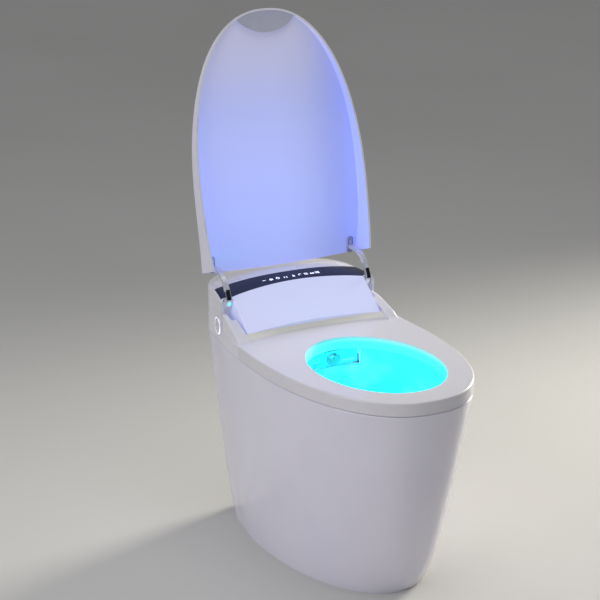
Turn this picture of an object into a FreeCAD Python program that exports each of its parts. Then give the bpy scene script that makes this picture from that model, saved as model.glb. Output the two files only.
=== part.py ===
import FreeCAD, Part
import math
import os
from collections import namedtuple

os.makedirs("parts", exist_ok=True)
V = FreeCAD.Vector

# A floor-standing smart toilet with its lid open. Millimetres, +Z up.
# While it is drawn, Y is the distance behind the seat's front tip, and X is the side.
# Plan shapes: half width, front tip, widest place, roundness, rear narrowing, rear, corner.
seat_width = 390.0
body_length = 680.4
widest_y = 366.0
plan_power = 2.26
side_taper = 40.2
rear_corner = 61.0
floor_inset = 40.6
floor_tip = 116.4
floor_widest = 433.4
floor_power = 2.08
floor_taper = 48.1
floor_rear = 653.8
floor_corner = 112.7
flare_power = 0.752

# Heights of the stack: ceramic, seam, seat, lid.
ceramic_top = 416.0
seat_low = 417.6
seat_high = 443.5
lid_gap = 1.5
shut_gap = 0.6
overrun = 2.0

# Ceramic body.
skirt_wall = 10.0
edge_round = 2.5
deck_thick = 12.0
bowl_wall = 9.0
bowl_y = 226.0
bowl_inset = 67.0
bowl_half_y = 173.5
bowl_floor = 226.0
sump_y = 262.0
sump_half_x = 34.0
sump_half_y = 44.0
trap_outer = 29.0
trap_inner = 25.0
trap_fit = 0.3
outlet_y = 387.0
weir_z = 316.0
weir_y = 330.0
trap_start_y = 276.0
trap_start_z = 238.0
weir_bend = 36.0
drop_bend = 33.0
seal_high = 14.0
seal_bore = 27.5
seal_wall = 18.0
anchor_y = 470.0
anchor_hole = 4.5

# Housing behind the seat.
panel_foot_y = 472.3
panel_foot_z = 453.2
panel_slope = 39.5
panel_inset = 39.0
front_bow = 8.0
crown_front = 540.0
crown_rear = 690.0
crown_low = 519.0
crown_rise = 16.0
crown_drop = 24.0
strip_front = 560.0
strip_front_bow = 14.0
strip_rear = 600.0
strip_rear_bow = 5.0
strip_thick = 3.0
strip_inset = 2.5
tail_front = 550.0
case_wall = 3.5
case_round = 8.0
cover_inset = 9.0
post_y = 544.0
wing_front = 441.0
wing_inset = 33.8
wing_ledge = 1.8
wing_round = 4.0
tray_thick = 3.0
bulkhead_thick = 3.0

# Hinge shared by the lid and the seat.
hinge_y = 593.4
hinge_z = 489.1
lid_open = 103.93
hinge_pin_radius = 4.0
pin_collar = 6.5
pin_over = 1.2
hinge_fit = 0.05
arm_inset = 30.0
arm_width = 10.0
arm_thick = 9.0
slot_front = 515.5

# Lid.
lid_taper = 8.1
lid_rear = 524.0
lid_rear_bow = 6.0
lid_rear_lean = 5.0
lid_wall = 4.2
lid_tip_high = 11.5
lid_rear_high = 76.0
lid_arch = 8.0
lid_round = 7.0

# Seat.
seat_hole_y = 225.8
seat_hole_lap = 1.9
seat_hole_length = 171.8
seat_wall = 4.0
seat_base_thick = 4.0
seat_round = 3.0

# Spray wand.
wand_port_y = 397.0
wand_port_z = 400.0
wand_slope = 10.0
wand_radius = 8.0
wand_length = 236.0
wand_travel = 110.0
rack_module = 1.0
pinion_teeth = 16
pinion_reach = 108.0

# Trough behind the bowl, and the service opening in the rear.
seal_low_lip = 4.0
trough_half = 57.0
trough_low = 384.0
trough_rear = 552.0
service_half = 70.0
service_low = 60.0
service_high = 190.0

# Floor brackets.
bracket_width = 50.0
bracket_foot = 34.0
bracket_high = 30.0
bracket_thick = 3.0

# Rear casing: the opening between its posts, and the holes in its back.
post_inset = 18.5
inlet_inset = 95.0
inlet_z = 444.0
inlet_radius = 10.5
gland_radius = 9.0

# Clearance behind the seat, and the slope panel's notch over the nozzle guard.
seat_clear = 1.0
guide_half = 55.0

# Tray and the hinge bearings on it.
tray_inset = case_wall + trap_fit
tray_front = 484.0
bulkhead_rear = 625.0
boss_radius = 9.0

# Hinge drives.
drive_radius = 15.0
drive_length = 34.0
drive_box = 28.0
drive_foot = 5.0

# Finger web across the lid's tip.
grip_half = 65.0
grip_corner = 21.0
grip_deep = 49.0
grip_thick = 2.5

# Pads on the lid's rim.
pad_high = 1.2
pad_length = 26.0
pad_inset = 0.6

# Pads inside the lid that take the arms.
bracket_pad_length = 37.0
bracket_pad_width = 13.0
bracket_pad_thick = 6.0
bracket_pad_y = 515.0

# The lid's gooseneck arms, drawn open: from the hinge, forward and up, then back to the lid.
arm_reach = 52.0
arm_rise = 71.5
arm_line_shares = (
    (-0.335, 0.020), (-0.681, 0.069), (-0.902, 0.152), (-0.998, 0.285), (-0.902, 0.481),
    (-0.729, 0.691), (-0.546, 0.827), (-0.296, 0.929), (-0.008, 0.982), (0.329, 1.0),
    (0.54, 1.003),
)

# Lid arms: their stems at the hinge, and the inserts and the lens in their fronts.
stem_outer = 1.8
stem_inner = 4.4
arm_trim = 1.0
arm_end_thick = 7.0
insert_low = 510.0
insert_high = 530.5
insert_width = 8.6
insert_deep = 3.0
light_radius = 3.6
light_y = 543.0
light_z = 501.5

# Seat: the cove at its rear, and the notch over the wand.
cove_wide = 30.0
cove_narrow = 7.0
cove_high = 11.5
cove_bury = 0.3
base_notch_half = 61.0
seat_notch_high = 15.0
base_notch_lead = 10.0
base_gap = 0.4
heater_thick = 1.6

# Seat bumpers.
bumper_inset = 37.0
bumper_front_y = 190.0
bumper_rear_y = 380.0
bumper_half_long = 14.0
bumper_half_wide = 5.0

# Steel seat arms.
plate_gap = 0.9
plate_thick = 2.4
plate_bar = 13.0
plate_bar_low = 423.0
plate_boss = 9.5
plate_front = 446.0

# Knob on the left side.
knob_y = 568.0
knob_z = 449.0
knob_radius = 20.0
ring_radius = 19.0
dial_radius = 15.4
button_radius = 9.0
knob_proud = 1.2
knob_deep = 4.5
bezel_wall = 1.2
button_travel = 1.2
running_gap = 0.3

# Wand rack.
wand_start = 3.0
rack_half = 3.0
rack_body = 1.2
rack_margin = 8.0
wand_flat = 6.5

# Pinion, motor and cradle of the wand.
backlash = 0.12
pressure_angle = 20.0
tooth_width_shares = (0.36, 0.225, 0.1)
pinion_width = 8.0
pinion_bore = 2.0
motor_radius = 12.0
wand_motor_radius = 10.5
motor_length = 26.0
motor_cap = 5.0
cradle_wall = 2.5
cradle_gap = 0.4
cradle_start = 14.0
cradle_top = 5.0
cradle_length = 240.0
rail_out = 30.0

# Nozzle guard and its night light.
guard_y = 396.0
guard_length = 50.0
guard_wall = 2.5
port_radius = 13.0
light_x0 = 20.0
light_length = 30.0
light_width = 4.0
light_rise = 7.0

# Dryer duct and fan.
duct_x0 = -54.0
duct_x1 = -28.0
duct_half_high = 8.0
duct_wall = 1.5
duct_start = 4.0
duct_length = 190.0
fan_y = 604.0
fan_z = 458.0
fan_radius = 27.0
fan_x0 = -58.0
fan_x1 = -27.0
fan_wall = 2.0
fan_room = 1.8
blade_lean = 30.0
fan_blades = 20
fan_hub = 7.0
fan_shaft = 2.5

# Boxed units on the tray.
heater_x0 = 58.0
heater_x1 = 93.0
heater_y0 = 500.0
heater_y1 = 560.0
heater_high = 34.0
spigot_radius = 4.0
spigot_length = 9.0
valve_y = 636.0
valve_half = 12.0
valve_high = 36.0
coil_radius = 10.0
coil_high = 22.0
inlet_length = 16.0
inlet_bore = 6.0
inlet_flange = 15.0
pump_inset = 85.0
pump_y = 520.0
pump_radius = 13.0
pump_length = 48.0
board_x0 = -24.0
board_x1 = 50.0
board_y0 = 585.0
board_y1 = 645.0
board_z = 474.0
board_thick = 1.6
chip = 10.0
chip_count = 4
chip_high_shares = (0.3, 0.45)
standoff = 3.0
supply_x0 = 60.0
supply_x1 = 88.0
supply_y0 = 580.0
supply_y1 = 650.0
supply_high = 44.0
supply_slots = 5
slot_wide = 2.4
slot_deep = 2.0
filter_inset = 49.0
filter_wide = 26.0
filter_y0 = 560.0
filter_y1 = 622.0
filter_high = 40.0
filter_slots = 6

# Lamp and touch board under the display strip.
icon_half = 70.0
icon_depth = 18.0
icon_drop = 4.5

# Worked out from the sizes above: half widths and sides, then the rest.
half_width = seat_width / 2
floor_half_width = half_width - floor_inset
bowl_half_x = half_width - bowl_inset
seat_hole_x = bowl_half_x - seat_hole_lap
panel_half = half_width - panel_inset
wing_inner = half_width - wing_inset
tongue_half = wing_inner - shut_gap
post_inner = half_width - post_inset
arm_x = half_width - arm_inset
stem_in = arm_x - stem_inner
stem_out = arm_x + stem_outer
plate_in = panel_half + plate_gap
plate_out = plate_in + plate_thick
bumper_x = half_width - bumper_inset
inlet_x = inlet_inset - half_width
gland_x = half_width - inlet_inset
pump_x = half_width - pump_inset
filter_x0 = filter_inset - half_width
filter_x1 = filter_x0 + filter_wide
tray_top = ceramic_top + tray_thick
lid_low = seat_high + lid_gap
rack_pitch = math.pi * rack_module
rack_first = pinion_reach - rack_pitch * int(rack_margin / rack_pitch)
rack_count = int((wand_travel + rack_margin * 2) / rack_pitch)

Plan = namedtuple("Plan", "half tip widest power taper rear corner")
seat_plan = Plan(half_width, 0, widest_y, plan_power, side_taper, body_length, rear_corner)
floor_plan = Plan(
    floor_half_width, floor_tip, floor_widest, floor_power, floor_taper, floor_rear, floor_corner
)
FRONT_STEPS = 8
SIDE_STEPS = 3
CORNER_STEPS = 4


def turn(y, z, degrees):
    """A point in the side view, turned about the hinge: positive closes the lid."""
    angle = math.radians(degrees)
    dy = y - hinge_y
    dz = z - hinge_z
    return (
        hinge_y + dy * math.cos(angle) - dz * math.sin(angle),
        hinge_z + dy * math.sin(angle) + dz * math.cos(angle),
    )


# The origin is under the middle of the whole object, whose rear is the open lid's tip.
seat_tip_open = turn(0, seat_high + lid_gap + lid_tip_high, -lid_open)
origin_y = max(seat_tip_open[0], body_length) / 2


def export(name, shape):
    shape = shape.copy()
    shape.translate(V(0, -origin_y, 0))
    shape.exportStep("parts/" + name + ".step")
    print(name, len(shape.Solids), round(shape.Volume / 1000, 2))


def box(x0, x1, y0, y1, z0, z1):
    return Part.makeBox(x1 - x0, y1 - y0, z1 - z0, V(x0, y0, z0))


def round_x(x0, x1, y, z, radius):
    return Part.makeCylinder(radius, x1 - x0, V(x0, y, z), V(1, 0, 0))


def round_y(x, y0, y1, z, radius):
    return Part.makeCylinder(radius, y1 - y0, V(x, y0, z), V(0, 1, 0))


def round_z(x, y, z0, z1, radius):
    return Part.makeCylinder(radius, z1 - z0, V(x, y, z0))


def mirrored(shape):
    return shape.mirror(V(0, 0, 0), V(1, 0, 0))


def pair(shape):
    return Part.makeCompound([shape, mirrored(shape)])


def largest(shape):
    """The main solid, without the loose chips that a cut leaves."""
    return max(shape.Solids, key=lambda solid: solid.Volume)


def mix(low, high, share):
    return Plan(*[a + (b - a) * share for a, b in zip(low, high)])


def side_x(plan, y):
    """Half width behind the widest place."""
    return plan.half - plan.taper * ((y - plan.widest) / (plan.rear - plan.widest)) ** 2


def half_points(plan):
    """The outline from the front tip round one side to the flat rear."""
    points = []
    for i in range(FRONT_STEPS + 1):
        angle = math.pi / 2 * i / FRONT_STEPS
        x = plan.half * math.sin(angle) ** (2 / plan.power)
        y = plan.widest - (plan.widest - plan.tip) * math.cos(angle) ** (2 / plan.power)
        points.append((x, y))
    side_end = plan.rear - plan.corner
    for i in range(1, SIDE_STEPS + 1):
        y = plan.widest + (side_end - plan.widest) * i / SIDE_STEPS
        points.append((side_x(plan, y), y))
    end_x = side_x(plan, side_end)
    for i in range(1, CORNER_STEPS + 1):
        angle = math.pi / 2 * i / CORNER_STEPS
        x = end_x - plan.corner * (1 - math.cos(angle))
        points.append((x, side_end + plan.corner * math.sin(angle)))
    return points


def moved_in(points, inset):
    """Each point moved inwards, square to the outline."""
    before = [(-points[1][0], points[1][1])] + points[:-1]
    after = points[1:] + [(2 * points[-1][0] - points[-2][0], points[-2][1])]
    result = []
    for (x, y), a, b in zip(points, before, after):
        dx = b[0] - a[0]
        dy = b[1] - a[1]
        size = math.hypot(dx, dy)
        result.append((x - dy / size * inset, y + dx / size * inset))
    return result


def outline_wire(plan, inset, z):
    points = moved_in(half_points(plan), inset)
    left = [(-x, y) for x, y in reversed(points[1:])]
    end_x, end_y = points[-1]
    back = Part.makeLine(V(end_x, end_y, z), V(-end_x, end_y, z))
    return Part.Wire([smooth_edge([V(x, y, z) for x, y in left + points]), back])


def prism(plan, inset, z0, z1):
    face = Part.Face(outline_wire(plan, inset, z0))
    return face.extrude(V(0, 0, z1 - z0))


def skirt(inset, top):
    """The flared skirt from the floor up to a height, smaller all round by an inset."""
    wires = []
    for step_share in (0, 0.15, 0.35, 0.6, 0.8, 1):
        z = top * step_share
        plan = mix(floor_plan, seat_plan, (z / ceramic_top) ** flare_power)
        wires.append(outline_wire(plan, inset, z))
    return Part.makeLoft(wires, True, False)


def smooth_edge(points):
    """One smooth curve through points."""
    curve = Part.BSplineCurve()
    curve.interpolate(points)
    return curve.toShape()


def side_region(points, floor_z, x0, x1):
    """The solid under a smooth side-view curve of (y, z) points, between two sides."""
    top = smooth_edge([V(x0, y, z) for y, z in points])
    first = points[0][0]
    last = points[-1][0]
    corners = [
        V(x0, last, points[-1][1]),
        V(x0, last, floor_z),
        V(x0, first, floor_z),
        V(x0, first, points[0][1]),
    ]
    edges = [top] + [Part.makeLine(a, b) for a, b in zip(corners, corners[1:])]
    return Part.Face(Part.Wire(edges)).extrude(V(x1 - x0, 0, 0))


def plan_region(front_mid, front_bow_size, half, y_end, z0, z1):
    """A plan area whose front edge is an arc: its middle lies further back by the bow."""
    front = front_mid - front_bow_size
    arc = Part.Arc(V(-half, front, z0), V(0, front_mid, z0), V(half, front, z0)).toShape()
    corners = [V(half, front, z0), V(half, y_end, z0), V(-half, y_end, z0), V(-half, front, z0)]
    edges = [arc] + [Part.makeLine(a, b) for a, b in zip(corners, corners[1:])]
    return Part.Face(Part.Wire(edges)).extrude(V(0, 0, z1 - z0))


def ellipse_wire(half_x, half_y, y, z):
    ellipse = Part.Ellipse(V(0, y + half_y, z), V(half_x, y, z), V(0, y, z))
    return Part.Wire([ellipse.toShape()])


def bowl_shape(grow, top):
    """The bowl's space, or with a wall's growth its outside."""
    rows = []
    for depth_share, width_share in ((0, 1), (0.28, 0.9), (0.62, 0.62), (0.86, 0.32), (1, 0)):
        z = top + (bowl_floor - grow - top) * depth_share
        half_x = sump_half_x + (bowl_half_x - sump_half_x) * width_share + grow
        half_y = sump_half_y + (bowl_half_y - sump_half_y) * width_share + grow
        y = sump_y + (bowl_y - sump_y) * width_share
        rows.append(ellipse_wire(half_x, half_y, y, z))
    return Part.makeLoft(rows, True, False)


def bent_path(points, radii):
    """Straight runs joined by arcs, in the middle plane, through (y, z) corners."""
    corners = [V(0, y, z) for y, z in points]
    edges = []
    start = corners[0]
    for i, radius in enumerate(radii, 1):
        back = (corners[i - 1] - corners[i]).normalize()
        ahead = (corners[i + 1] - corners[i]).normalize()
        half_angle = back.getAngle(ahead) / 2
        reach = radius / math.tan(half_angle)
        first = corners[i] + back * reach
        last = corners[i] + ahead * reach
        middle_way = (back + ahead).normalize()
        centre = corners[i] + middle_way * (radius / math.sin(half_angle))
        edges.append(Part.makeLine(start, first))
        edges.append(Part.Arc(first, centre - middle_way * radius, last).toShape())
        start = last
    edges.append(Part.makeLine(start, corners[-1]))
    return Part.Wire(edges)


def pipe_along(path, radius):
    start = path.Edges[0]
    direction = start.tangentAt(start.FirstParameter)
    ring = Part.Wire([Part.makeCircle(radius, start.valueAt(start.FirstParameter), direction)])
    return path.makePipeShell([ring], True, True)


def trap_route():
    return bent_path(
        [
            (trap_start_y, trap_start_z),
            (weir_y, weir_z),
            (outlet_y, weir_z),
            (outlet_y, seal_high - seal_low_lip),
        ],
        [weir_bend, drop_bend],
    )


def ceramic_body():
    outside = skirt(0, ceramic_top)
    top_edge = [e for e in outside.Edges if e.BoundBox.ZMin > ceramic_top - shut_gap]
    outside = outside.makeFillet(edge_round, top_edge)
    body = outside.cut(skirt(skirt_wall, ceramic_top - deck_thick))
    body = body.fuse(bowl_shape(bowl_wall, ceramic_top - deck_thick / 2))
    body = body.cut(bowl_shape(0, ceramic_top + shut_gap))
    body = body.cut(pipe_along(trap_route(), trap_outer + trap_fit))
    body = body.cut(
        box(-trough_half, trough_half, bowl_y, trough_rear, trough_low, seat_low)
    )
    return body.cut(
        box(
            -service_half, service_half, body_length - rear_corner * 2, body_length,
            service_low, service_high,
        )
    )


def trap_pipe():
    route = trap_route()
    pipe = pipe_along(route, trap_outer).cut(pipe_along(route, trap_inner))
    return largest(pipe.cut(bowl_shape(0, ceramic_top)))


def floor_seal():
    outside = round_z(0, outlet_y, 0, seal_high, trap_outer + seal_wall)
    outside = outside.cut(round_z(0, outlet_y, seal_high - seal_low_lip, seal_high, trap_outer))
    return outside.cut(round_z(0, outlet_y, 0, seal_high, seal_bore))


def bracket_edge():
    """The bracket's outer face, just inside the skirt at its narrower end."""
    return side_x(floor_plan, anchor_y + bracket_width / 2) - skirt_wall - trap_fit


def anchor_x():
    return bracket_edge() - bracket_foot / 2


def floor_bracket():
    """An angle on the floor that the skirt's inside sits over, with a bolt hole."""
    y0 = anchor_y - bracket_width / 2
    y1 = anchor_y + bracket_width / 2
    x1 = bracket_edge()
    foot = box(x1 - bracket_foot, x1, y0, y1, 0, bracket_thick)
    riser = box(x1 - bracket_thick, x1, y0, y1, 0, bracket_high)
    hole = round_z(anchor_x(), anchor_y, -overrun, bracket_thick + overrun, anchor_hole)
    return foot.fuse(riser).cut(hole)


# Housing: the slope panel's plane, the crowned top, and the pieces cut from them.


def under_slope(drop, x0, x1):
    """Everything under the slope panel's plane, lowered square to it."""
    angle = math.radians(panel_slope)
    corners = []
    for y in (wing_front, crown_rear):
        z = panel_foot_z + (y - panel_foot_y) * math.tan(angle) - drop / math.cos(angle)
        corners.append(V(x0, y, z))
    corners = corners + [V(x0, crown_rear, 0), V(x0, wing_front, 0), corners[0]]
    return Part.Face(Part.makePolygon(corners)).extrude(V(x1 - x0, 0, 0))


def under_crown(drop):
    """Everything under the crowned top, which falls towards the sides and the rear."""
    rows = []
    # Along the object: how far back, how high, and how much the sides fall there.
    for y_share, rise_share, drop_share in (
        (0, 0, 0.38), (0.14, 0.4, 0.46), (0.4, 0.85, 0.67), (0.67, 1, 0.83), (1, 0.8, 1)
    ):
        y = crown_front + (crown_rear - crown_front) * y_share
        row = []
        for i in range(-5, 6):
            x_share = i / 5
            x = seat_width / 2 * x_share * 1.05
            fall = crown_drop * drop_share * abs(x / (seat_width * 0.45)) ** 2.4
            row.append(V(x, y, crown_low + crown_rise * rise_share - fall - drop))
        rows.append(row)
    surface = Part.BSplineSurface()
    surface.interpolate(rows)
    return surface.toShape().extrude(V(0, 0, -crown_low / 2))


def housing_block(inset, drop):
    """The rear part of the housing, from the posts to the back."""
    z0 = seat_low - overrun
    z1 = crown_low * 1.2
    walls = prism(seat_plan, inset, z0, z1)
    rear = box(-seat_width, seat_width, post_y + inset, body_length + overrun, z0, z1)
    return walls.common(rear).common(under_crown(drop))


def rounded_block():
    block = housing_block(0, 0)
    edges = []
    for edge in block.Edges:
        box_of = edge.BoundBox
        if box_of.ZMin > crown_low - crown_drop * 1.6 and box_of.YMax > post_y + overrun:
            edges.append(edge)
    return block.makeFillet(case_round, edges)


def strip_zone(gap):
    """The plan area of the black display strip, widened by a gap."""
    z0 = hinge_z - overrun
    z1 = crown_low * 1.2
    middle = plan_region(strip_front - gap, strip_front_bow, panel_half, strip_rear, z0, z1)
    tail = prism(seat_plan, strip_inset - gap, z0, z1).common(
        box(panel_half, seat_width, tail_front - gap, strip_rear, z0, z1)
    )
    behind = plan_region(
        strip_rear + gap, strip_rear_bow, seat_width, body_length + overrun, z0, z1
    )
    return middle.fuse([tail, mirrored(tail)]).cut(behind)


def cover_zone(gap):
    z0 = hinge_z - overrun
    z1 = crown_low * 1.2
    behind = plan_region(
        strip_rear + shut_gap - gap, strip_rear_bow, seat_width, body_length + overrun, z0, z1
    )
    return behind.common(prism(seat_plan, cover_inset - gap, z0, z1))


def rear_casing():
    shell = rounded_block().cut(housing_block(case_wall, strip_thick))
    shell = shell.cut(box(-seat_width, seat_width, 0, body_length + overrun, 0, seat_low))
    # Only the top skin makes way for the strip, which rests on the side walls.
    strip_bed = strip_zone(shut_gap / 2).cut(under_crown(strip_thick))
    shell = shell.cut(strip_bed).cut(cover_zone(shut_gap / 2))
    front_open = box(
        -post_inner, post_inner, post_y - overrun, post_y + case_wall + overrun,
        0, crown_low * 1.2,
    )
    tray_half = side_x(seat_plan, post_y) - case_wall
    shell = shell.cut(front_open).cut(
        box(-tray_half, tray_half, tray_front, post_y + case_wall + overrun, 0, tray_top)
    )
    for x, radius in ((inlet_x, inlet_radius), (gland_x, gland_radius)):
        y0 = body_length - case_wall * 2
        shell = shell.cut(round_y(x, y0, body_length + overrun, inlet_z, radius + trap_fit))
    knob_hole = round_z(0, 0, -case_wall * 4, case_wall * 2, knob_radius + shut_gap)
    return largest(shell.cut(knob_place(knob_hole)))


def top_cover():
    block = rounded_block().cut(under_crown(strip_thick))
    return block.common(cover_zone(0))


def display_strip():
    layer = under_crown(0).cut(under_crown(strip_thick)).common(strip_zone(0))
    walls = prism(seat_plan, 0, hinge_z, crown_low * 1.2)
    layer = layer.common(walls).common(rounded_block_or_front())
    return layer.common(under_slope(-strip_thick, -seat_width, seat_width))


def rounded_block_or_front():
    """The rounded housing, and the space ahead of it between the posts."""
    front = box(-panel_half, panel_half, panel_foot_y, post_y + overrun, hinge_z, crown_low * 1.2)
    return rounded_block().fuse(front)


def slope_panel():
    """The sloping cover between the wings: a top skin with side walls and a front wall."""
    def block(inset):
        zone = plan_region(
            panel_foot_y + front_bow + seat_clear + inset, front_bow,
            panel_half - inset, strip_front, tray_top, crown_low * 1.2,
        )
        return zone.common(under_slope(inset, -seat_width, seat_width))

    shell = block(0).cut(block(case_wall)).cut(strip_zone(shut_gap / 2))
    notch = box(
        -guide_half - shut_gap, guide_half + shut_gap, panel_foot_y - overrun,
        panel_foot_y + front_bow * 3, 0, panel_foot_z - front_bow * 2,
    )
    return shell.cut(notch)


def wing_top(drop):
    rise = panel_foot_z - seat_high
    length = post_y - wing_front
    points = []
    # Chosen points of the wing's profile: share of its length, rise in units of the foot's.
    for y_share, rise_share in (
        (-0.06, 0), (0.06, 0.08), (0.2, 0.9), (0.43, 2.05), (0.64, 2.87), (0.77, 3.3), (1, 3.76)
    ):
        points.append((wing_front + length * y_share, seat_high + rise * rise_share - drop))
    return side_region(points, 0, -seat_width, seat_width)


def lid_plan():
    """The lid's outline narrows less towards the rear than the body's."""
    rear_share = ((seat_plan.rear - widest_y) / (lid_rear - widest_y)) ** 2
    return seat_plan._replace(taper=lid_taper * rear_share)


def wing():
    """The right wing of the housing: a ledge for the closed lid, and a raised part inside it."""
    z1 = crown_low
    ledge = prism(seat_plan, 0, seat_low, seat_high)
    raised = prism(lid_plan(), lid_wall + wing_ledge, seat_low, z1)
    zone = box(wing_inner, seat_width, wing_front, post_y - shut_gap / 2, seat_low, z1)
    zone = zone.common(wing_top(0))
    raised = raised.common(zone)
    outer_edge = [
        e for e in raised.Edges
        if e.BoundBox.YLength > post_y - slot_front
        and e.BoundBox.XMin > arm_x
        and e.BoundBox.ZMax > panel_foot_z
    ]
    raised = raised.makeFillet(wing_round, outer_edge)
    body = ledge.common(zone).fuse(raised)
    hollow = prism(seat_plan, case_wall * 2.4, 0, z1).common(
        box(wing_inner + case_wall, seat_width, wing_front + case_wall, slot_front - case_wall, 0, z1)
    )
    body = body.cut(hollow.common(wing_top(case_wall)))
    slot = box(0, arm_x + arm_width / 2 + seat_clear, slot_front, post_y, 0, z1)
    return body.cut(slot).cut(tray_room())


def tray_room():
    """The space that the wings and the casing leave for the tray's edge inside their skins."""
    area = prism(seat_plan, case_wall, 0, tray_top)
    return area.common(box(-seat_width, seat_width, tray_front - shut_gap, body_length, 0, tray_top))


def base_tray():
    floor_area = prism(seat_plan, tray_inset, ceramic_top, tray_top)
    tray = floor_area.common(box(-seat_width, seat_width, tray_front, body_length, 0, tray_top))
    tray = tray.cut(box(-trough_half, trough_half, 0, trough_rear, 0, tray_top))
    x1 = panel_half - case_wall - shut_gap
    z1 = hinge_z + boss_radius
    wall = box(
        x1 - bulkhead_thick, x1, tail_front + case_wall + shut_gap, bulkhead_rear, ceramic_top, z1
    )
    boss = round_x(x1 - boss_radius, x1, hinge_y, hinge_z, boss_radius)
    bore = round_x(0, seat_width, hinge_y, hinge_z, hinge_pin_radius)
    return tray.fuse(pair(wall.fuse(boss))).cut(pair(bore))


def hinge_pin():
    bearing = panel_half - case_wall - shut_gap
    pin = round_x(bearing - boss_radius, stem_out + pin_over, hinge_y, hinge_z, hinge_pin_radius)
    collar = round_x(bearing, plate_in - running_gap, hinge_y, hinge_z, pin_collar)
    return pin.fuse(collar)


def hinge_drive():
    """A damped gear motor in line with the hinge, on the inside of its bulkhead."""
    x1 = panel_half - case_wall - shut_gap - boss_radius
    motor = round_x(x1 - drive_length, x1 - seat_clear / 2, hinge_y, hinge_z, drive_radius)
    gearbox = box(
        x1 - drive_length - drive_box / 2, x1 - drive_length, hinge_y - drive_box / 2,
        hinge_y + drive_box / 2, tray_top, hinge_z + drive_radius,
    )
    foot = box(
        x1 - drive_length, x1 - drive_length + drive_box / 4, hinge_y - drive_foot,
        hinge_y + drive_foot, tray_top, hinge_z,
    )
    return motor.fuse(gearbox).fuse(foot)


# Lid, drawn closed on the seat and then turned open about the hinge.


def dome_under(inset):
    """Everything under the lid's domed top, which rises towards the hinge."""
    rows = []
    profile_shares = (
        (-0.02, 0), (0.12, 0.11), (0.29, 0.22), (0.56, 0.4), (0.78, 0.53), (0.9, 0.66),
        (0.97, 0.81), (1.06, 1.05),
    )
    for y_share, rise_share in profile_shares:
        y = lid_rear * y_share
        high = lid_low + lid_tip_high + (lid_rear_high - lid_tip_high) * rise_share - inset
        row = []
        for i in range(-3, 4):
            side_share = i / 3
            x = seat_width / 2 * side_share * 1.05
            row.append(V(x, y, high - lid_arch * side_share ** 2))
        rows.append(row)
    surface = Part.BSplineSurface()
    surface.interpolate(rows)
    return surface.toShape().extrude(V(0, 0, -seat_width))


def behind_lid():
    """The space behind the lid's rear edge, which is bowed and leans back."""
    half = seat_width
    side = lid_rear + lid_rear_bow - lid_rear_bow * (half / (seat_width / 2)) ** 2
    low = lid_low - overrun
    corners = [V(half, side, low), V(half, body_length, low), V(-half, body_length, low),
               V(-half, side, low)]
    arc = Part.Arc(corners[-1], V(0, lid_rear + lid_rear_bow, low), corners[0]).toShape()
    edges = [arc] + [Part.makeLine(a, b) for a, b in zip(corners, corners[1:])]
    lean = V(0, lid_rear_lean, lid_rear_high - lid_tip_high)
    return Part.Face(Part.Wire(edges)).extrude(lean * 1.6)


def lid_block(inset, rounding):
    """The domed block of the closed lid, or with an inset the space inside it."""
    walls = prism(lid_plan(), inset, lid_low, lid_low + lid_rear_high * 1.3)
    block = walls.common(dome_under(inset))
    top_edge = []
    for edge in block.Edges:
        bounds = edge.BoundBox
        if bounds.ZMin > lid_low + overrun and bounds.YMin < lid_rear / 2:
            if edge.Length > seat_width / 2:
                top_edge.append(edge)
    return block.makeFillet(rounding, top_edge).cut(behind_lid())


def opened(shape):
    shape = shape.copy()
    shape.rotate(V(0, hinge_y, hinge_z), V(1, 0, 0), -lid_open)
    return shape


def lid_grip(inside):
    """The flat lens-shaped web across the lid's tip, where fingers lift it."""
    low = lid_low + shut_gap
    arc = Part.Arc(V(-grip_half, grip_corner, low), V(0, grip_deep, low), V(grip_half, grip_corner, low))
    corners = [
        V(grip_half, grip_corner, low), V(grip_half, -grip_deep, low),
        V(-grip_half, -grip_deep, low), V(-grip_half, grip_corner, low),
    ]
    edges = [arc.toShape()] + [Part.makeLine(a, b) for a, b in zip(corners, corners[1:])]
    plate = Part.Face(Part.Wire(edges)).extrude(V(0, 0, grip_thick))
    return opened(plate.common(inside))


def rim_pads():
    """Four soft pads on the lid's rim, two a side."""
    ring = prism(lid_plan(), pad_inset, lid_low - pad_high, lid_low)
    ring = ring.cut(prism(lid_plan(), lid_wall - pad_inset, lid_low - pad_high, lid_low))
    pads = []
    for y in (widest_y - pad_length * 6, widest_y + pad_length * 2):
        zone = box(-seat_width, seat_width, y, y + pad_length, 0, seat_width * 2)
        pads.append(ring.common(zone))
    return opened(Part.makeCompound([solid for pad in pads for solid in pad.Solids]))


def lid_bracket(inside):
    """The long pad inside the lid that takes the arm's end."""
    y0 = bracket_pad_y - bracket_pad_length / 2
    y1 = bracket_pad_y + bracket_pad_length / 2
    half = bracket_pad_width / 2
    block = box(arm_x - half, arm_x + half, y0 + half, y1 - half, lid_low, lid_low + lid_rear_high)
    block = block.fuse(round_z(arm_x, y0 + half, lid_low, lid_low + lid_rear_high, half))
    block = block.fuse(round_z(arm_x, y1 - half, lid_low, lid_low + lid_rear_high, half))
    block = block.common(inside)
    lowered = inside.copy()
    lowered.translate(V(0, 0, -bracket_pad_thick))
    keep = block.cut(lowered)
    return opened(keep.removeSplitter())


def arm_sides(thick_start, thick_end):
    centre = []
    for reach_share, rise_share in arm_line_shares:
        centre.append(V(0, hinge_y + arm_reach * reach_share, hinge_z + arm_rise * rise_share))
    outer = []
    inner = []
    count = len(centre) - 1
    for i, point in enumerate(centre):
        ahead = centre[min(i + 1, count)] - centre[max(i - 1, 0)]
        side = V(0, -ahead.z, ahead.y).normalize()
        half = (thick_start + (thick_end - thick_start) * i / count) / 2
        outer.append(point + side * half)
        inner.append(point - side * half)
    return outer, inner


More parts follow.
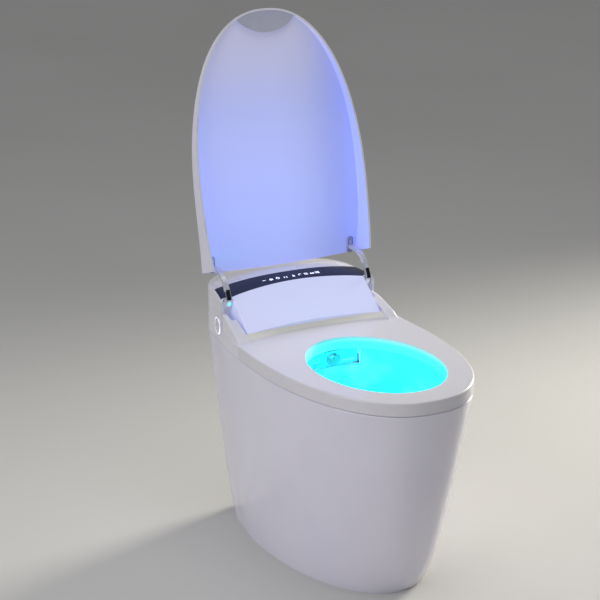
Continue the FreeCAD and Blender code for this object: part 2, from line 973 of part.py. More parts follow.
def arm_band(x0, x1, thick_start, thick_end):
    outer, inner = arm_sides(thick_start, thick_end)
    edges = [
        smooth_edge(outer), Part.makeLine(outer[-1], inner[-1]),
        smooth_edge(inner), Part.makeLine(inner[0], outer[0]),
    ]
    face = Part.Face(Part.Wire(Part.__sortEdges__(edges)))
    face.translate(V(x0, 0, 0))
    return face.extrude(V(x1 - x0, 0, 0))


def insert_space(x_half):
    """The front face of the arm between two heights, to a small depth."""
    band = arm_band(arm_x - x_half, arm_x + x_half, arm_thick, arm_end_thick)
    core = band.copy()
    core.translate(V(0, insert_deep * 0.87, -insert_deep * 0.5))
    zone = box(0, seat_width, 0, strip_front + insert_deep, insert_low, insert_high)
    return band.cut(core).common(zone)


def lid_arm():
    arm = arm_band(arm_x - arm_width / 2, arm_x + arm_width / 2, arm_thick, arm_end_thick)
    stem = round_x(stem_in, stem_out, hinge_y, hinge_z, boss_radius)
    web = box(
        stem_in, stem_out, hinge_y - arm_reach / 2, hinge_y, hinge_z - arm_thick / 2,
        hinge_z + arm_thick / 2,
    )
    arm = arm.fuse(stem).fuse(web)
    # Its outer side is trimmed where the housing's side wall comes in, with the lid open or shut.
    beside = box(stem_out, seat_width, tail_front, body_length, 0, hinge_z + boss_radius)
    beside_shut = box(stem_out + arm_trim, seat_width, knob_y, body_length, 0, crown_low)
    arm = arm.cut(beside).cut(opened(beside_shut))
    arm = arm.cut(round_x(0, seat_width, hinge_y, hinge_z, hinge_pin_radius + hinge_fit))
    return arm.cut(insert_space(insert_width / 2))


def status_light(arm):
    """The small round lens under the left arm's insert."""
    lens = Part.makeSphere(light_radius, V(arm_x, light_y - arm_thick / 2, light_z))
    return lens.cut(arm)


# Seat: a ring with a tongue that reaches back between the wings.


def seat_area(grow):
    """The seat's plan, cut off behind: a full front part and a narrower tongue."""
    rear_mid = panel_foot_y + front_bow - grow
    front = box(-seat_width, seat_width, -overrun, wing_front - shut_gap - grow, 0, seat_width * 2)
    behind = plan_region(rear_mid, front_bow, tongue_half, body_length, 0, seat_width * 2)
    tongue = box(
        -tongue_half + grow, tongue_half - grow, 0, rear_mid + overrun, 0, seat_width * 2
    )
    return front.fuse(tongue).cut(behind)


def seat_opening(grow):
    wire = ellipse_wire(seat_hole_x + grow, seat_hole_length + grow, seat_hole_y, 0)
    return Part.Face(wire).extrude(V(0, 0, seat_width * 2))


def cove():
    """The seat's top sweeps up at the rear to meet the slope panel's foot."""
    sections = []
    for i in range(-4, 5):
        x_share = i / 4
        x = tongue_half * x_share
        rear = panel_foot_y + front_bow * (1 - x_share ** 2)
        wide = cove_narrow + (cove_wide - cove_narrow) * x_share ** 2
        front = rear - wide
        points = []
        for share in (0, 0.35, 0.65, 0.87, 1):
            rise = (cove_high + cove_bury) * share ** 2.6 - cove_bury
            points.append(V(x, front + wide * share, seat_high + rise))
        low = seat_high - seat_wall / 2
        top = V(x, rear + overrun, points[-1].z)
        corners = [points[-1], top, V(x, rear + overrun, low), V(x, front, low), points[0]]
        edges = [smooth_edge(points)]
        edges += [Part.makeLine(a, b) for a, b in zip(corners, corners[1:])]
        sections.append(Part.Wire(edges))
    return Part.makeLoft(sections, True, False)


def seat_top():
    outer = prism(seat_plan, 0, seat_low, seat_high)
    rim = [e for e in outer.Edges if e.BoundBox.ZMin > seat_high - shut_gap]
    outer = outer.makeFillet(seat_round, [e for e in rim if e.Length > seat_width])
    outer = outer.common(seat_area(0)).cut(seat_opening(0))
    hollow = prism(seat_plan, seat_wall, 0, seat_high - seat_wall)
    hollow = hollow.common(seat_area(seat_wall)).cut(seat_opening(seat_wall))
    shell = outer.fuse(cove().common(seat_area(0))).cut(hollow)
    notch = box(
        -base_notch_half, base_notch_half, wing_front - base_notch_lead, body_length,
        0, seat_low + seat_notch_high,
    )
    return shell.cut(notch)


def seat_base():
    """The plate that closes the seat's underside."""
    plate = prism(seat_plan, seat_wall + base_gap, seat_low, seat_low + seat_base_thick)
    plate = plate.common(seat_area(seat_wall + base_gap)).cut(seat_opening(seat_wall + base_gap))
    notch = box(
        -base_notch_half, base_notch_half, wing_front - base_notch_lead, body_length,
        0, seat_low + seat_notch_high,
    )
    return plate.cut(notch)


def seat_heater():
    """The warming mat stuck under the seat's top skin."""
    top = seat_high - seat_wall
    mat = prism(seat_plan, seat_wall * 4, top - heater_thick, top)
    front = box(-seat_width, seat_width, 0, wing_front - seat_wall * 4, 0, seat_width * 2)
    return mat.common(front).cut(seat_opening(seat_wall * 4))


def seat_bumpers():
    """Four rubber feet under the seat that rest on the ceramic rim."""
    pads = []
    for y, x in ((bumper_front_y, bumper_x * 0.96), (bumper_rear_y, bumper_x)):
        pads.append(
            box(x - bumper_half_wide, x + bumper_half_wide, y - bumper_half_long,
                y + bumper_half_long, ceramic_top, seat_low)
        )
    return pair(Part.makeCompound(pads))


def seat_arm():
    """The steel arm that hangs from the hinge and runs forward in its groove to the seat."""
    boss = round_x(plate_in, plate_out, hinge_y, hinge_z, plate_boss)
    stem = box(
        plate_in, plate_out, hinge_y - plate_bar / 2, hinge_y + plate_bar / 2, plate_bar_low, hinge_z
    )
    bar = box(
        plate_in, plate_out, plate_front, hinge_y + plate_bar / 2,
        plate_bar_low, plate_bar_low + plate_bar,
    )
    plate = boss.fuse(stem).fuse(bar)
    return plate.cut(round_x(0, seat_width, hinge_y, hinge_z, hinge_pin_radius + hinge_fit))


# Knob on the left side: drawn about +Z, then stood on the curved side wall.


def knob_place(shape):
    """Stand a shape on the left wall at the knob's centre, its +Z pointing out of the wall."""
    slope = 2 * side_taper * (knob_y - widest_y) / (body_length - widest_y) ** 2
    lean = math.degrees(math.atan(slope))
    shape = shape.copy()
    shape.rotate(V(0, 0, 0), V(0, 1, 0), -90)
    shape.rotate(V(0, 0, 0), V(0, 0, 1), -lean)
    shape.translate(V(-side_x(seat_plan, knob_y), knob_y, knob_z))
    return shape


def tube(z0, z1, outer, inner):
    return round_z(0, 0, z0, z1, outer).cut(round_z(0, 0, z0, z1, inner))


def knob_parts():
    bezel = tube(-knob_deep, 0, knob_radius, ring_radius)
    bezel = bezel.fuse(round_z(0, 0, -knob_deep - bezel_wall, -knob_deep, knob_radius))
    light = tube(-knob_deep, knob_proud / 2, ring_radius, dial_radius + running_gap)
    dial = tube(-knob_deep + running_gap, knob_proud, dial_radius, button_radius + running_gap)
    floor_z = -knob_deep + running_gap + bezel_wall
    dial = dial.fuse(
        tube(-knob_deep + running_gap, floor_z, dial_radius, button_radius / 2 + running_gap)
    )
    button = round_z(0, 0, floor_z + button_travel + running_gap, knob_proud * 0.8, button_radius)
    button = button.fuse(
        round_z(0, 0, -knob_deep + button_travel + running_gap, floor_z + button_travel + overrun,
                button_radius / 2)
    )
    return [knob_place(s) for s in (bezel, light, dial, button)]


# Wand and dryer: drawn level at the origin with +Y to the rear, then laid on their slope.


def wand_place(shape):
    shape = shape.copy()
    shape.rotate(V(0, 0, 0), V(1, 0, 0), wand_slope)
    shape.translate(V(0, wand_port_y, wand_port_z))
    return shape


def rack_teeth():
    """Straight rack teeth along the wand's top, one every pitch."""
    pitch = rack_pitch
    pitch_z = wand_flat + rack_body + rack_module * 1.25
    lean = math.tan(math.radians(pressure_angle))
    root = pitch / 4 + rack_module * 1.25 * lean
    tip = pitch / 4 - rack_module * lean
    teeth = []
    for i in range(rack_count):
        y = rack_first + i * pitch
        corners = [
            V(-rack_half, y - root, pitch_z - rack_module * 1.25),
            V(-rack_half, y - tip, pitch_z + rack_module),
            V(-rack_half, y + tip, pitch_z + rack_module),
            V(-rack_half, y + root, pitch_z - rack_module * 1.25),
        ]
        corners.append(corners[0])
        teeth.append(Part.Face(Part.makePolygon(corners)).extrude(V(rack_half * 2, 0, 0)))
    return teeth


def spray_wand():
    tube_body = Part.makeCylinder(wand_radius, wand_length, V(0, wand_start, 0), V(0, 1, 0))
    tip = Part.makeSphere(wand_radius, V(0, wand_start + wand_radius, 0))
    front = box(-wand_radius, wand_radius, wand_start - overrun, wand_start + wand_radius,
                -wand_radius, wand_radius)
    tube_body = tube_body.cut(front).fuse(tip)
    rack_y = rack_first - rack_pitch / 2
    base = box(-rack_half, rack_half, rack_y, rack_y + rack_pitch * rack_count,
               0, wand_flat + rack_body)
    body = tube_body.fuse(base)
    body = body.fuse(rack_teeth())
    for share in (0.06, 0.11):
        y = wand_start + wand_length * share
        body = body.cut(round_z(0, y, wand_radius / 2, wand_radius * 2, rack_half / 3))
    return wand_place(body)


def pinion_centre():
    pitch_z = wand_flat + rack_body + rack_module * 1.25
    return pinion_reach, pitch_z + rack_module * pinion_teeth / 2 + backlash


def wand_pinion():
    """A straight-cut gear above the rack, with a gap between teeth facing the rack tooth."""
    y, z = pinion_centre()
    pitch_radius = rack_module * pinion_teeth / 2
    root = pitch_radius - rack_module * 1.25
    tip = pitch_radius + rack_module * 0.9
    points = []
    for i in range(pinion_teeth):
        # The tooth spaces are centred straight down, where a rack tooth stands.
        middle = 2 * math.pi * (i + 0.5) / pinion_teeth - math.pi / 2
        flank = list(zip((root, pitch_radius, tip), tooth_width_shares))
        for radius, half_share in flank:
            points.append((radius, middle - half_share * 2 * math.pi / pinion_teeth))
        for radius, half_share in reversed(flank):
            points.append((radius, middle + half_share * 2 * math.pi / pinion_teeth))
    x0 = -pinion_width / 2
    corners = [V(x0, y + r * math.cos(a), z + r * math.sin(a)) for r, a in points]
    corners.append(corners[0])
    gear = Part.Face(Part.makePolygon(corners)).extrude(V(pinion_width, 0, 0))
    bore = round_x(-pinion_width, pinion_width, y, z, pinion_bore + hinge_fit)
    return wand_place(gear.cut(bore))


def wand_motor():
    y, z = pinion_centre()
    x0 = pinion_width / 2 + running_gap * 2
    x1 = x0 + motor_length
    can = round_x(x0, x1, y, z, wand_motor_radius)
    cap = round_x(x1, x1 + motor_cap, y, z, wand_motor_radius / 2)
    shaft = round_x(-pinion_width / 2 - running_gap, x0, y, z, pinion_bore)
    ear_x = wand_radius + cradle_gap + cradle_wall
    ear = box(ear_x, ear_x + bracket_thick, y - rack_half, y + rack_half, cradle_top, z)
    return wand_place(can.fuse(cap).fuse(shaft).fuse(ear))


def wand_cradle():
    """The sloping trough that the wand slides in, with a floor flange either side."""
    half = wand_radius + cradle_gap + cradle_wall
    y1 = cradle_start + cradle_length
    body = box(-half, half, cradle_start, y1, -half, cradle_top)
    flange = box(
        -half, rail_out, cradle_start + cradle_length * 0.3, y1, cradle_top - cradle_wall, cradle_top
    )
    body = body.fuse(flange)
    channel = Part.makeCylinder(
        wand_radius + cradle_gap, cradle_length * 2, V(0, -cradle_start, 0), V(0, 1, 0)
    )
    slit = box(-wand_radius - cradle_gap, wand_radius + cradle_gap, 0, y1 + overrun, 0, wand_radius * 2)
    body = body.cut(channel).cut(slit)
    placed = wand_place(body)
    under_tray = box(-seat_width, seat_width, trough_rear, body_length, 0, tray_top)
    return placed.cut(under_tray)


def nozzle_guard():
    """The box at the back of the bowl that the wand comes out of, with a dryer port beside it."""
    y1 = guard_y + guard_length
    half = trough_half - trap_fit
    outer = box(-half, half, guard_y, y1, trough_low + trap_fit, ceramic_top)
    inner = box(
        -half + guard_wall, half - guard_wall, guard_y + guard_wall, y1 + overrun,
        trough_low + guard_wall, ceramic_top + overrun,
    )
    port = round_y(0, guard_y - overrun, guard_y + guard_wall + overrun, wand_port_z, port_radius)
    vent_half = duct_half_high - duct_wall
    vent = box(
        duct_x0 + duct_wall, duct_x1 - duct_wall, guard_y - overrun,
        guard_y + guard_wall + overrun, wand_port_z - vent_half, wand_port_z + vent_half,
    )
    return outer.cut(inner).cut(port).cut(vent).cut(night_light())


def night_light():
    """The lens that lights the bowl, let into the guard's front beside the port."""
    z0 = trough_low + light_rise
    return box(
        light_x0, light_x0 + light_length, guard_y, guard_y + guard_wall, z0, z0 + light_width
    )


def duct_block(grow, y_start):
    return wand_place(box(
        duct_x0 - grow, duct_x1 + grow, y_start, duct_start + duct_length,
        -duct_half_high - grow, duct_half_high + grow,
    ))


def dryer_duct():
    """The warm air duct beside the wand, from the fan case down to the nozzle guard."""
    duct = duct_block(0, duct_start).cut(duct_block(-duct_wall, duct_start - overrun))
    fan_front = fan_y - fan_radius
    return duct.cut(box(-seat_width, 0, fan_front, body_length, 0, seat_width * 2))


def dryer_volute():
    """The round fan case with an eye on one side and a mouth into the duct."""
    room = fan_radius + fan_room
    case = round_x(fan_x0, fan_x1, fan_y, fan_z, room + fan_wall)
    foot = box(fan_x0, fan_x1, fan_y - fan_radius, fan_y + fan_radius, tray_top, fan_z)
    case = case.fuse(foot)
    case = case.cut(round_x(fan_x0 + fan_wall, fan_x1 - fan_wall, fan_y, fan_z, room))
    eye = round_x(fan_x1 - fan_wall - overrun, fan_x1 + overrun, fan_y, fan_z, fan_radius * 0.6)
    back = round_x(fan_x0 - overrun, fan_x0 + fan_wall + overrun, fan_y, fan_z, fan_shaft + running_gap)
    return case.cut(eye).cut(back).cut(duct_block(-duct_wall, 0))


def fan_impeller():
    """The dryer's squirrel-cage wheel: a back plate, a rim and a ring of blades."""
    x0 = fan_x0 + fan_wall + running_gap * 3
    x1 = fan_x1 - fan_wall - running_gap * 3
    wheel = round_x(x0, x0 + fan_wall, fan_y, fan_z, fan_radius)
    wheel = wheel.fuse(round_x(x0, x1, fan_y, fan_z, fan_hub))
    rim = round_x(x1 - fan_wall, x1, fan_y, fan_z, fan_radius)
    rim = rim.cut(round_x(x0, x1 + overrun, fan_y, fan_z, fan_radius * 0.78))
    parts = [rim]
    for i in range(fan_blades):
        blade = box(
            x0, x1, fan_y - fan_wall / 3, fan_y + fan_wall / 3,
            fan_z + fan_radius * 0.79, fan_z + fan_radius * 0.98,
        )
        blade.rotate(V(0, fan_y, fan_z + fan_radius * 0.88), V(1, 0, 0), blade_lean)
        blade.rotate(V(0, fan_y, fan_z), V(1, 0, 0), 360 * i / fan_blades)
        parts.append(blade)
    wheel = wheel.fuse(parts)
    return wheel.cut(round_x(x0 - overrun, x1 + overrun, fan_y, fan_z, fan_shaft + hinge_fit))


def fan_motor():
    can = round_x(fan_x0 - motor_length, fan_x0, fan_y, fan_z, motor_radius)
    shaft = round_x(fan_x0, fan_x1 - fan_wall * 2, fan_y, fan_z, fan_shaft)
    foot = box(
        fan_x0 - motor_length + motor_cap, fan_x0 - motor_cap,
        fan_y - motor_cap, fan_y + motor_cap, tray_top, fan_z,
    )
    return can.fuse(shaft).fuse(foot)


def water_heater():
    tank = box(heater_x0, heater_x1, heater_y0, heater_y1, tray_top, tray_top + heater_high)
    upright = [e for e in tank.Edges if e.BoundBox.ZLength > heater_high / 2]
    tank = tank.makeFillet(spigot_radius, upright)
    for x in (heater_x0 + spigot_length, heater_x1 - spigot_length):
        z0 = tray_top + heater_high
        tank = tank.fuse(
            round_z(x, heater_y0 + spigot_length, z0, z0 + spigot_length * 0.7, spigot_radius)
        )
    return tank


def inlet_valve():
    block = box(
        inlet_x - valve_half, inlet_x + valve_half, valve_y - valve_half, valve_y + valve_half,
        tray_top, tray_top + valve_high,
    )
    coil_low = tray_top + valve_high
    coil = round_z(inlet_x, valve_y, coil_low, coil_low + coil_high, coil_radius)
    return block.fuse(coil)


def inlet_fitting():
    """The water inlet through the back, joined to the valve."""
    y0 = valve_y + valve_half
    y1 = body_length + inlet_length
    pipe = round_y(inlet_x, y0, y1, inlet_z, inlet_radius)
    y2 = body_length + hinge_fit
    flange = round_y(inlet_x, y2, y2 + bracket_thick, inlet_z, inlet_flange)
    return pipe.fuse(flange).cut(round_y(inlet_x, y0, y1, inlet_z, inlet_bore))


def power_gland():
    """The cable gland in the back where the mains lead goes in."""
    y0 = body_length - case_wall - spigot_length
    y1 = body_length + bracket_thick + spigot_length
    body = round_y(gland_x, y0, y1, inlet_z, gland_radius)
    y2 = body_length + hinge_fit
    nut = round_y(gland_x, y2, y2 + bracket_thick, inlet_z, gland_radius * 1.4)
    return body.fuse(nut).cut(round_y(gland_x, y0, y1, inlet_z, gland_radius / 2))


def spray_pump():
    y0 = pump_y - pump_length / 2
    middle = tray_top + pump_radius
    body = round_y(pump_x, y0, y0 + pump_length, middle, pump_radius)
    head = box(
        pump_x - pump_radius, pump_x + pump_radius, y0 - spigot_length, y0,
        tray_top, tray_top + pump_radius * 2,
    )
    half = pump_radius / 2
    foot = box(pump_x - half, pump_x + half, y0, y0 + pump_length, tray_top, middle)
    return body.fuse(head).fuse(foot)


def control_board():
    z0 = board_z + board_thick
    board = box(board_x0, board_x1, board_y0, board_y1, board_z, z0)
    pitch = (board_x1 - board_x0) / chip_count
    for i in range(chip_count):
        x = board_x0 + pitch * i + (pitch - chip) / 2
        high = chip * chip_high_shares[i % 2]
        board = board.fuse(box(x, x + chip, board_y0 + chip, board_y0 + chip * 2, z0, z0 + high))
    for x in (board_x0 + standoff, board_x1 - standoff):
        for y in (board_y0 + standoff, board_y1 - standoff):
            board = board.fuse(round_z(x, y, tray_top, board_z, standoff))
    return board


def power_supply():
    z1 = tray_top + supply_high
    case = box(supply_x0, supply_x1, supply_y0, supply_y1, tray_top, z1)
    pitch = (supply_y1 - supply_y0) / supply_slots
    for i in range(supply_slots):
        y = supply_y0 + pitch * (i + 0.5)
        case = case.cut(box(
            supply_x0, supply_x1, y - slot_wide / 2, y + slot_wide / 2, z1 - slot_deep, z1
        ))
    return case


def deodoriser():
    """The scent filter's case with a slotted front over its charcoal block."""
    case = box(filter_x0, filter_x1, filter_y0, filter_y1, tray_top, tray_top + filter_high)
    pitch = filter_high / filter_slots
    for i in range(filter_slots):
        z = tray_top + pitch * (i + 0.5)
        case = case.cut(box(
            filter_x0 - overrun, filter_x0 + slot_deep, filter_y0 + standoff,
            filter_y1 - standoff, z - slot_wide / 4, z + slot_wide / 4,
        ))
    return case


def icon_board():
    """The lamp and touch board under the display strip."""
    y = (strip_front + strip_rear) / 2
    z0 = crown_low - icon_drop
    z1 = z0 + board_thick
    board = box(-icon_half, icon_half, y - icon_depth / 2, y + icon_depth / 2, z0, z1)
    for x in (-icon_half + standoff, icon_half - standoff):
        board = board.fuse(round_z(x, y, z1, crown_low + crown_rise, standoff))
    return board.common(under_crown(strip_thick))


def build():
    export("ceramic_body", ceramic_body())
    export("trap_pipe", trap_pipe())
    export("floor_seal", floor_seal())
    export("floor_brackets", pair(floor_bracket()))
    export("base_tray", base_tray())
    export("rear_casing", rear_casing())
    export("top_cover", top_cover())
    export("display_strip", display_strip())
    export("icon_board", icon_board())
    export("slope_panel", slope_panel())
    right_wing = wing()
    export("wing_right", right_wing)
    export("wing_left", mirrored(right_wing))
    outside = lid_block(0, lid_round)
    inside = lid_block(lid_wall, lid_round - lid_wall / 2)
    export("lid_shell", opened(outside.cut(inside)))
    export("lid_grip", lid_grip(inside))
    export("lid_rim_pads", rim_pads())
    bracket = lid_bracket(inside)
    export("lid_bracket_right", bracket)
    export("lid_bracket_left", mirrored(bracket))
    arm = lid_arm().cut(bracket)
    export("lid_arm_right", arm)
    export("lid_arm_left", mirrored(arm))
    insert = insert_space(insert_width / 2)
    export("arm_insert_right", insert)
    export("arm_insert_left", mirrored(insert))
    export("status_light", mirrored(status_light(arm)))
    pin = hinge_pin()
    export("hinge_pin_right", pin)
    export("hinge_pin_left", mirrored(pin))
    drive = hinge_drive()
    export("lid_drive", drive)
    export("seat_drive", mirrored(drive))
    plate = seat_arm()
    top = seat_top().cut(pair(plate))
    export("seat_top", top)
    export("seat_base", seat_base().cut(pair(plate)))
    export("seat_heater", seat_heater())
    export("seat_bumpers", seat_bumpers())
    export("seat_arm_right", plate)
    export("seat_arm_left", mirrored(plate))
    for name, shape in zip(("knob_bezel", "knob_light", "knob_dial", "flush_button"), knob_parts()):
        export(name, shape)
    export("nozzle_guard", nozzle_guard())
    export("night_light", night_light())
    export("wand_cradle", wand_cradle())
    export("spray_wand", spray_wand())
    export("wand_pinion", wand_pinion())
    export("wand_motor", wand_motor())
    export("dryer_duct", dryer_duct())
    export("dryer_volute", dryer_volute())
    export("fan_impeller", fan_impeller())
    export("fan_motor", fan_motor())
    export("water_heater", water_heater())
    export("inlet_valve", inlet_valve())
    export("inlet_fitting", inlet_fitting())
    export("power_gland", power_gland())
    export("spray_pump", spray_pump())
    export("control_board", control_board())
    export("power_supply", power_supply())
    export("deodoriser", deodoriser())


build()
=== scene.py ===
import math

import bmesh
import bpy
from mathutils import Matrix, Vector
from mathutils.bvhtree import BVHTree


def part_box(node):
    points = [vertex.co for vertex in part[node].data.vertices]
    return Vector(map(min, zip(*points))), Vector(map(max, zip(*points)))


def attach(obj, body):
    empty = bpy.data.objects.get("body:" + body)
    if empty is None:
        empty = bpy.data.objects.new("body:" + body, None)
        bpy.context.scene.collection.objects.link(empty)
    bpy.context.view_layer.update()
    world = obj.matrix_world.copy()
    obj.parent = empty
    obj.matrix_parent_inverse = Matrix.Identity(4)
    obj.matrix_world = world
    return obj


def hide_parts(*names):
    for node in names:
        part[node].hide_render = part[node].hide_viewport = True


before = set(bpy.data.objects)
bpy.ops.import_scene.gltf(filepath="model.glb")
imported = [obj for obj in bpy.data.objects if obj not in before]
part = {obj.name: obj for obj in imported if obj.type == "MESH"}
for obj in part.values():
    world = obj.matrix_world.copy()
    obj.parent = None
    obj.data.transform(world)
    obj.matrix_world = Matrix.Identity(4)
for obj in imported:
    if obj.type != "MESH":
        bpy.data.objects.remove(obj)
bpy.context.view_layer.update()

# The ceramic body is one slip-cast piece of vitreous china, glazed all over and fired.
# The glaze is a pale lavender grey that pools a little and keeps a slight ripple.
# Inside the bowl and its recess, the night light is painted into the glaze as cyan colour and glow.


def seen(red, green, blue):
    """A colour as it looks, in steps of 255, as the shader wants it."""
    levels = []
    for step in (red, green, blue):
        share = step / 255
        levels.append(share / 12.92 if share < 0.04045 else ((share + 0.055) / 1.055) ** 2.4)
    return (*levels, 1.0)


class Finish:
    """One surface finish, whose patterns follow the piece itself."""

    def __init__(self, name, colour, rough, metal=0.0, coat=0.0):
        self.material = bpy.data.materials.new(name)
        self.material.use_nodes = True
        self.tree = self.material.node_tree
        self.shader = self.tree.nodes["Principled BSDF"]
        self.colour = colour
        self.shader.inputs["Base Color"].default_value = colour
        self.shader.inputs["Roughness"].default_value = rough
        self.shader.inputs["Metallic"].default_value = metal
        self.shader.inputs["Coat Weight"].default_value = coat
        self.shader.inputs["Coat Roughness"].default_value = 0.08
        self.place = self.add("TexCoord").outputs["Object"]

    def add(self, kind, feeds=None, **settings):
        """A shader node of one kind, with patterns or plain values fed to its inputs."""
        node = self.tree.nodes.new("ShaderNode" + kind)
        for name, value in settings.items():
            setattr(node, name, value)
        for name, value in (feeds or {}).items():
            if isinstance(value, bpy.types.NodeSocket):
                self.tree.links.new(value, node.inputs[name])
            else:
                node.inputs[name].default_value = value
        return node

    def feed(self, name, socket):
        """A pattern drives one input of the surface."""
        self.tree.links.new(socket, self.shader.inputs[name])

    def cloud(self, size, detail=2.0, stretch=(1, 1, 1)):
        """A soft random pattern with patches of about this size."""
        place = self.add("Mapping", {"Vector": self.place, "Scale": stretch}).outputs[0]
        return self.add("TexNoise", {"Vector": place, "Scale": 1 / size, "Detail": detail}).outputs[0]

    def ramp(self, socket, low, high, to_low=0.0, to_high=1.0):
        """The value between low and high spread over to_low and to_high."""
        feeds = {"Value": socket, 1: low, 2: high, 3: to_low, 4: to_high}
        return self.add("MapRange", feeds, interpolation_type="SMOOTHSTEP").outputs[0]

    def maths(self, kind, first, second):
        return self.add("Math", {0: first, 1: second}, operation=kind).outputs[0]

    def times(self, first, second):
        return self.maths("MULTIPLY", first, second)

    def blend(self, share, first, second):
        """Two colours mixed by a share."""
        return self.add("Mix", {0: share, 6: first, 7: second}, data_type="RGBA").outputs[2]

    def drift(self, other, size, strength=1.0):
        """The colour drifts softly towards another one."""
        share = self.ramp(self.cloud(size), 0.35, 0.7, 0.0, strength)
        return self.blend(share, self.colour, other)

    def uneven_gloss(self, low, high, size):
        """Handling and moulding leave the gloss uneven, in patches of about this size."""
        self.feed("Roughness", self.ramp(self.cloud(size, 4.0), 0.35, 0.7, low, high))

    def relief(self, size, depth, detail=2.0, stretch=(1, 1, 1)):
        """A fine surface relief with a depth in metres."""
        feeds = {"Height": self.cloud(size, detail, stretch), "Distance": depth, "Strength": 1.0}
        self.feed("Normal", self.add("Bump", feeds).outputs[0])

    def glow(self, colour, strength):
        """The surface gives off a light of its own, as strong as a pattern says."""
        if isinstance(colour, bpy.types.NodeSocket):
            self.feed("Emission Color", colour)
        else:
            self.shader.inputs["Emission Color"].default_value = colour
        self.feed("Emission Strength", strength)

    def along(self, axis):
        """How far along one axis of the object a point is."""
        return self.add("SeparateXYZ", {0: self.place}).outputs[axis]

    def oval_reach(self, middle, half):
        """The squared distance from an oval's middle, which is 1 on the oval."""
        squares = []
        for axis in (0, 1):
            share = self.maths(
                "DIVIDE", self.maths("SUBTRACT", self.along(axis), middle[axis]), half[axis]
            )
            squares.append(self.times(share, share))
        return self.maths("ADD", *squares)

    def facing(self, spot):
        """Above zero where a face looks towards a spot, and 1 where it looks straight at it."""
        way = self.add("VectorMath", {0: spot, 1: self.place}, operation="SUBTRACT").outputs[0]
        way = self.add("VectorMath", {0: way}, operation="NORMALIZE").outputs[0]
        feeds = {0: way, 1: self.add("TexCoord").outputs["Normal"]}
        return self.add("VectorMath", feeds, operation="DOT_PRODUCT").outputs["Value"]

    def put_on(self, *names):
        for name in names:
            part[name].data.materials.clear()
            part[name].data.materials.append(self.material)


glaze_colour = seen(227, 224, 238)
glaze_pool = seen(224, 221, 236)
bowl_lit = seen(46, 252, 252)
bowl_lit_deep = seen(20, 236, 250)
bowl_lit_pale = seen(96, 250, 255)
bowl_lit_tint = seen(40, 150, 158)
recess_lit = seen(44, 170, 242)
bowl_middle = (0.0, -0.1263)
bowl_half = (0.1285, 0.1740)
bowl_top_point = (*bowl_middle, 0.44)
glow_power = 1.25
glow_span = (0.25, 0.41)
bowl_span = (0.235, 0.34)
sump_share = 0.2
rim_share = 1.03
bowl_fade = (0.0, 0.03)
facing_fade = (0.0, 0.03)
recess_side = (0.0585, 0.0575)
recess_front = (0.02, 0.03)
recess_back = (0.062, 0.058)
recess_floor = (0.3815, 0.3825)
recess_top = (0.413, 0.4115)

glaze = Finish("glaze", glaze_colour, 0.16, coat=0.4)
bowl_reach = glaze.oval_reach(bowl_middle, bowl_half)
# The painted glow follows the bowl as it narrows towards its sump, and leaves the skirt behind it unlit.
bowl_limit = glaze.ramp(glaze.along(2), *bowl_span, sump_share, rim_share)
inside_limit = glaze.ramp(glaze.maths("SUBTRACT", bowl_limit, bowl_reach), *bowl_fade)
in_bowl = glaze.times(inside_limit, glaze.ramp(glaze.facing(bowl_top_point), *facing_fade))
glaze.feed("Base Color", glaze.blend(in_bowl, glaze.drift(glaze_pool, 0.16), bowl_lit_tint))
glow_colour = glaze.blend(glaze.ramp(glaze.along(2), *glow_span), bowl_lit_deep, bowl_lit)
glow_streak = glaze.ramp(glaze.cloud(0.09, 1.0, stretch=(1, 1, 2)), 0.45, 0.75, 0.0, 0.5)
glow_colour = glaze.blend(glow_streak, glow_colour, bowl_lit_pale)
in_recess = glaze.ramp(glaze.maths("ABSOLUTE", glaze.along(0), 0.0), *recess_side)
for axis, fade in ((1, recess_front), (2, recess_floor), (2, recess_top), (1, recess_back)):
    in_recess = glaze.times(in_recess, glaze.ramp(glaze.along(axis), *fade))
glow_colour = glaze.blend(in_recess, glow_colour, recess_lit)
glow_share = glaze.maths("MAXIMUM", glaze.times(in_bowl, glow_power), in_recess)
glaze.glow(glow_colour, glow_share)
glaze.uneven_gloss(0.17, 0.23, 0.08)
glaze.relief(0.03, 0.00005)
glaze.put_on("ceramic_body")

# Water stands in the sump up to the trap pipe's mouth. Its surface is flat, and the night
# light is painted on it as a cyan colour and glow.


def piece(name, points, faces, body, finish):
    """A made piece that moves with one body."""
    mesh = bpy.data.meshes.new(name)
    mesh.from_pydata(points, [], faces)
    mesh.materials.append(finish.material)
    thing = bpy.data.objects.new(name, mesh)
    bpy.context.collection.objects.link(thing)
    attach(thing, body)


def skin(name):
    """The faces of a piece, ready for finding where a line meets them."""
    mesh = part[name].data
    corners = [corner.co for corner in mesh.vertices]
    return BVHTree.FromPolygons(corners, [face.vertices for face in mesh.polygons])


water_centre = Vector((0.0, -0.088, 0.289))
water_gap = 0.0006
water_depth = 0.002
bed_share = 0.04
shore_points = 96
pipe_mouth = 0.0915
bowl_skin = skin("ceramic_body")
shore = []
for step in range(shore_points):
    turn = math.tau * step / shore_points
    way = Vector((math.cos(turn), math.sin(turn), 0))
    distance = bowl_skin.ray_cast(water_centre, way)[3]
    # Behind, the wall is open at the trap pipe, and the water ends at the pipe's mouth.
    if way.y > 0:
        distance = min(distance, pipe_mouth / way.y)
    shore.append(water_centre + way * (distance - water_gap))
bed = [
    point + (water_centre - point) * bed_share - Vector((0, 0, water_depth)) for point in shore
]
wall = []
for i in range(shore_points):
    after = (i + 1) % shore_points
    wall.append((i, i + shore_points, after + shore_points, after))

